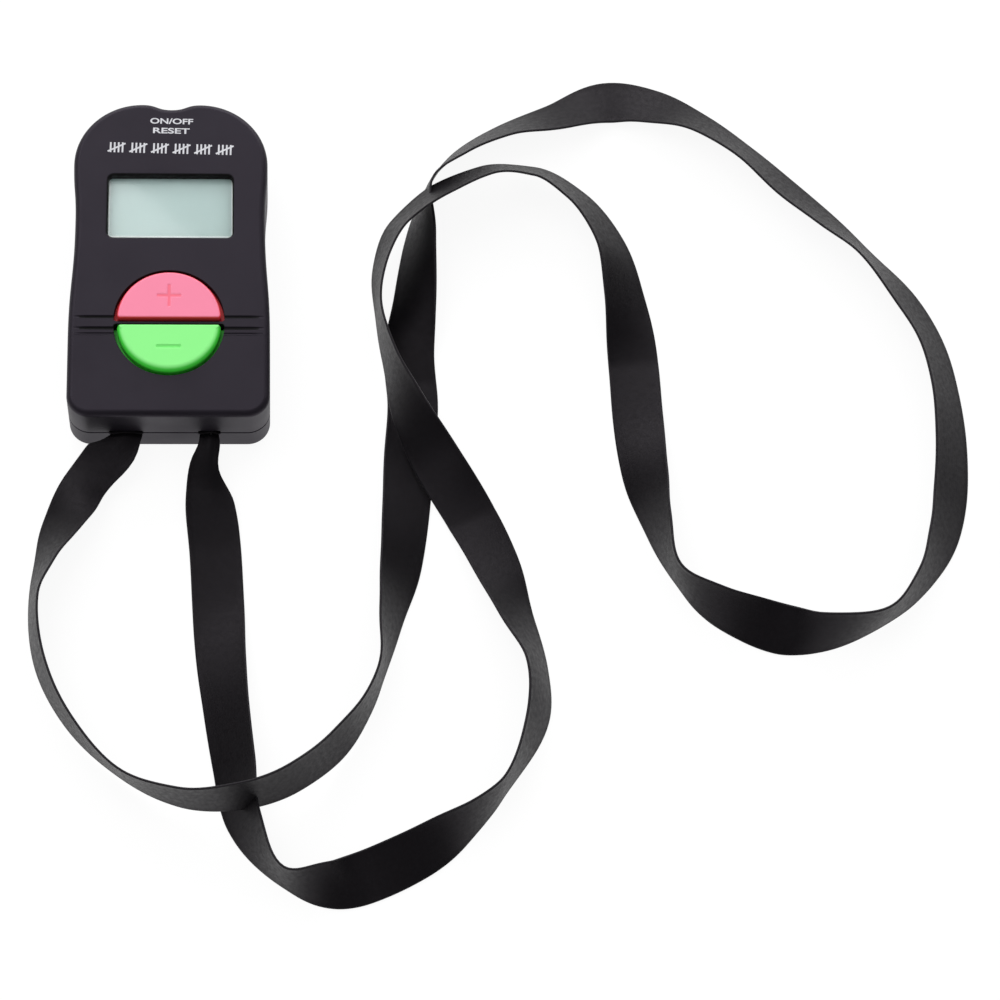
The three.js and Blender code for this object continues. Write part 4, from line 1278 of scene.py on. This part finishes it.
def turn_print(mesh):
    """The print sits a little askew on the case."""
    mesh.transform(Matrix.Translation(PRINT_MIDDLE) @ Matrix.Rotation(PRINT_TURN, 4, "Z")
                   @ Matrix.Translation(-PRINT_MIDDLE))


def tally_tree(material):
    """Groups of four upright bars with a slanting fifth across them, side by side."""
    labels = ["Stroke", "Bar Height", "Rise", "Pitch", "Slash Length", "Slash Turn", "Group Pitch", "Row",
              "Level"]
    tree, named, given = open_tree(
        "tally_groups", [(label, "Float") for label in labels] + [("Groups", "Int")])
    times = lambda a, b: calculate(tree, "MULTIPLY", a, b)
    vector = lambda **parts: join_vector(tree, **parts)
    bar_size = vector(X=given["Stroke"], Y=given["Bar Height"], Z=given["Rise"])
    bar = add_node(tree, "GeometryNodeMeshCube", {"Size": bar_size})
    pitch = given["Pitch"]
    bars = repeat_on_line(tree, 4, vector(X=times(pitch, -1.5)), vector(X=pitch), bar.outputs[0])
    slash_size = vector(X=given["Stroke"], Y=given["Slash Length"], Z=times(given["Rise"], 1.3))
    slash = add_node(tree, "GeometryNodeMeshCube", {"Size": slash_size})
    turned = add_node(tree, "GeometryNodeTransform", {
        "Geometry": slash.outputs[0], "Rotation": vector(Z=given["Slash Turn"])})
    group = tree.nodes.new("GeometryNodeJoinGeometry")
    tree.links.new(bars, group.inputs[0])
    tree.links.new(turned.outputs[0], group.inputs[0])
    gaps = calculate(tree, "SUBTRACT", given["Groups"], 1)
    start = vector(X=times(times(gaps, given["Group Pitch"]), -0.5), Y=given["Row"], Z=given["Level"])
    groups = repeat_on_line(tree, given["Groups"], start, vector(X=given["Group Pitch"]), group.outputs[0])
    close_tree(tree, groups, material)
    return tree, named


def build_tally_marks(material):
    marks = new_piece("tally_marks", [(0, TALLY_Y, CASE_HEIGHT)], [])
    tree, named = tally_tree(material)
    grow(marks, tree, named, {
        "Stroke": TALLY_STROKE * MM, "Bar Height": TALLY_HEIGHT * MM, "Rise": PRINT_RISE * MM,
        "Pitch": TALLY_PITCH * MM, "Slash Length": TALLY_SLASH_LENGTH * MM, "Slash Turn": TALLY_SLASH_TURN,
        "Group Pitch": TALLY_GROUP_PITCH * MM, "Groups": TALLY_GROUPS, "Row": TALLY_Y * MM,
        "Level": CASE_HEIGHT * MM,
    })
    turn_print(marks.data)
    dress(marks, "case", "white_plastic")


def build_label(name, words, y, width, material):
    """Printed letters, stretched to their measured width and height."""
    text = bpy.data.curves.new(name, "FONT")
    text.body = words
    text.align_x = "CENTER"
    text.align_y = "CENTER"
    text.offset = LETTER_WEIGHT
    text.resolution_u = 6
    text.extrude = 0.02
    holder = bpy.data.objects.new("holder", text)
    show(holder)
    graph = bpy.context.evaluated_depsgraph_get()
    mesh = bpy.data.meshes.new_from_object(holder.evaluated_get(graph))
    bpy.data.objects.remove(holder)
    corners = np.array([v.co for v in mesh.vertices])
    low, high = corners.min(0), corners.max(0)
    size = high - low
    centre = (low + high) / 2
    scale = np.array([width, LETTER_HEIGHT, PRINT_RISE]) / size * MM
    fit = Matrix.Diagonal((*scale, 1))
    to_face = Matrix.Translation((0, y * MM, CASE_HEIGHT * MM))
    mesh.transform(to_face @ fit @ Matrix.Translation(-Vector(centre)))
    turn_print(mesh)
    mesh.name = name
    label = bpy.data.objects.new(name, mesh)
    show(label)
    point_outwards(label)
    mesh.materials.clear()
    mesh.materials.append(material)
    dress(label, "case", "white_plastic")


# Floor and light

FLOOR_REACH = 6000.0
FLOOR_SHARE = 0.86
FLOOR_GLOW = 1.06
WORLD_LIGHT = 0.56
WORLD_SHEEN = 0.21
WORLD_THROUGH = 1.3
LIGHT_TARGET = (0.05, -0.03, 0)


def build_floor():
    """A pale floor that reads white to the camera and in reflections, and keeps the shadow."""
    material = finish("pale_floor", (0.9, 0.9, 0.9), 0.7, {"Specular IOR Level": 0.1})
    tree = material.node_tree
    rays = tree.nodes.new("ShaderNodeLightPath").outputs
    direct = calculate(tree, "ADD", rays["Is Camera Ray"], rays["Is Glossy Ray"])
    seen = calculate(tree, "ADD", direct, rays["Is Transmission Ray"], use_clamp=True)
    share = calculate(tree, "MULTIPLY", seen, FLOOR_SHARE)
    glow = add_node(tree, "ShaderNodeEmission", {"Color": (1, 1, 1, 1), "Strength": FLOOR_GLOW})
    mixed = add_node(tree, "ShaderNodeMixShader", {
        0: share, 1: shader_of(material).outputs[0], 2: glow.outputs[0]})
    tree.links.new(mixed.outputs[0], tree.nodes["Material Output"].inputs["Surface"])
    corners = [(-1, -1), (1, -1), (1, 1), (-1, 1)]
    floor = new_piece("floor", [(x * FLOOR_REACH, y * FLOOR_REACH, 0) for x, y in corners], [(0, 1, 2, 3)])
    floor.data.materials.append(material)


def build_world():
    """White behind everything, and a dimmer even light from all sides.

    A ray through a window can be both glossy and transmitted, so the later kind decides.
    """
    world = bpy.data.worlds.new("studio")
    bpy.context.scene.world = world
    world.use_nodes = True
    tree = world.node_tree
    background = tree.nodes["Background"]
    rays = tree.nodes.new("ShaderNodeLightPath").outputs
    level = WORLD_LIGHT
    for kind, strength in (("Glossy", WORLD_SHEEN), ("Transmission", WORLD_THROUGH), ("Camera", 1.0)):
        level = remap(tree, rays[f"Is {kind} Ray"], 0.0, 1.0, level, strength)
    background.inputs["Color"].default_value = (1, 1, 1, 1)
    tree.links.new(level, background.inputs["Strength"])


def paint_nodes(slot_materials):
    """Gives each CAD node that stays in view its finish."""
    for node, material in slot_materials.items():
        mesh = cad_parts[node].data
        mesh.materials.clear()
        mesh.materials.append(material)


build_camera()
ribbon_satin = black_satin_ribbon()
build_ribbon(ribbon_satin)
build_ribbon_end(1, "ribbon_fold_right", "ribbon_end_right", RIGHT_OPENING, ribbon_satin)
build_ribbon_end(-1, "ribbon_fold_left", "ribbon_end_left", LEFT_OPENING, ribbon_satin)

charcoal = charcoal_case_plastic()
# The second black of the shells is painted shade in their recesses.
painted_recess_shade = recess_shade_black()
build_front_shell(charcoal, painted_recess_shade)
build_back_shell(charcoal, painted_recess_shade)

plus_bars = [(MARK_LENGTH, MARK_STROKE), (MARK_STROKE, MARK_LENGTH)]
minus_bars = [(MARK_LENGTH, MARK_STROKE)]
# The second colour of each key is painted shade on its wall.
pink = key_plastic("pink_key_plastic", (0.98, 0.255, 0.400), (0.95, 0.050, 0.062), KEY_TOP, 0.2)
green = key_plastic("green_key_plastic", (0.275, 0.98, 0.26), (0.05, 0.70, 0.045), KEY_TOP, 0.45)
build_count_key("plus_key_cap", "plus_button", "plus_key", "plus_plastic", 1,
                PLUS_ARC_ROUND, plus_bars, PLUS_MARK_DEPTH, pink)
build_count_key("minus_key_cap", "minus_button", "minus_key", "minus_plastic", -1,
                MINUS_ARC_ROUND, minus_bars, MINUS_MARK_DEPTH, green)
build_reset_key(blue_key_plastic())

steel = nickel_steel()
build_case_screws(steel)
ink = white_print()
build_label("on_off_label", "ON/OFF", ON_OFF_Y, ON_OFF_WIDTH, ink)
build_label("reset_label", "RESET", RESET_LABEL_Y, RESET_LABEL_WIDTH, ink)
build_tally_marks(ink)

switch_plastic = black_switch_plastic()
epoxy = black_epoxy()
switch_nodes = [f"{key}_{part}" for key in ("plus", "minus", "reset") for part in ("switch", "plunger")]
steel_nodes = ["quartz_crystal", "button_cell", "positive_contact", "negative_contact", *BOARD_SCREWS]
paint_nodes({
    "display_lens": clear_lens_acrylic(),
    "front_polariser": display_film(),
    "display_glass": display_glass(),
    "rear_reflector": rear_film(),
    "display_holder": white_frame_plastic(),
    "contact_strip": striped_elastomer(),
    "main_board": green_solder_mask(),
    "counter_chip": epoxy,
    "chip_resistor": epoxy,
    "chip_capacitor": tan_ceramic(),
    **{node: steel for node in steel_nodes},
    **{node: switch_plastic for node in switch_nodes},
})

build_floor()
build_world()
add_softbox("top_light", (-0.6, 0.42, 1.4), LIGHT_TARGET, (1.2, 1.2), 7.0)
add_softbox("back_light", (0.1, 1.15, 0.6), LIGHT_TARGET, (1.8, 0.8), 12.0)
bpy.context.scene.view_settings.view_transform = "Standard"
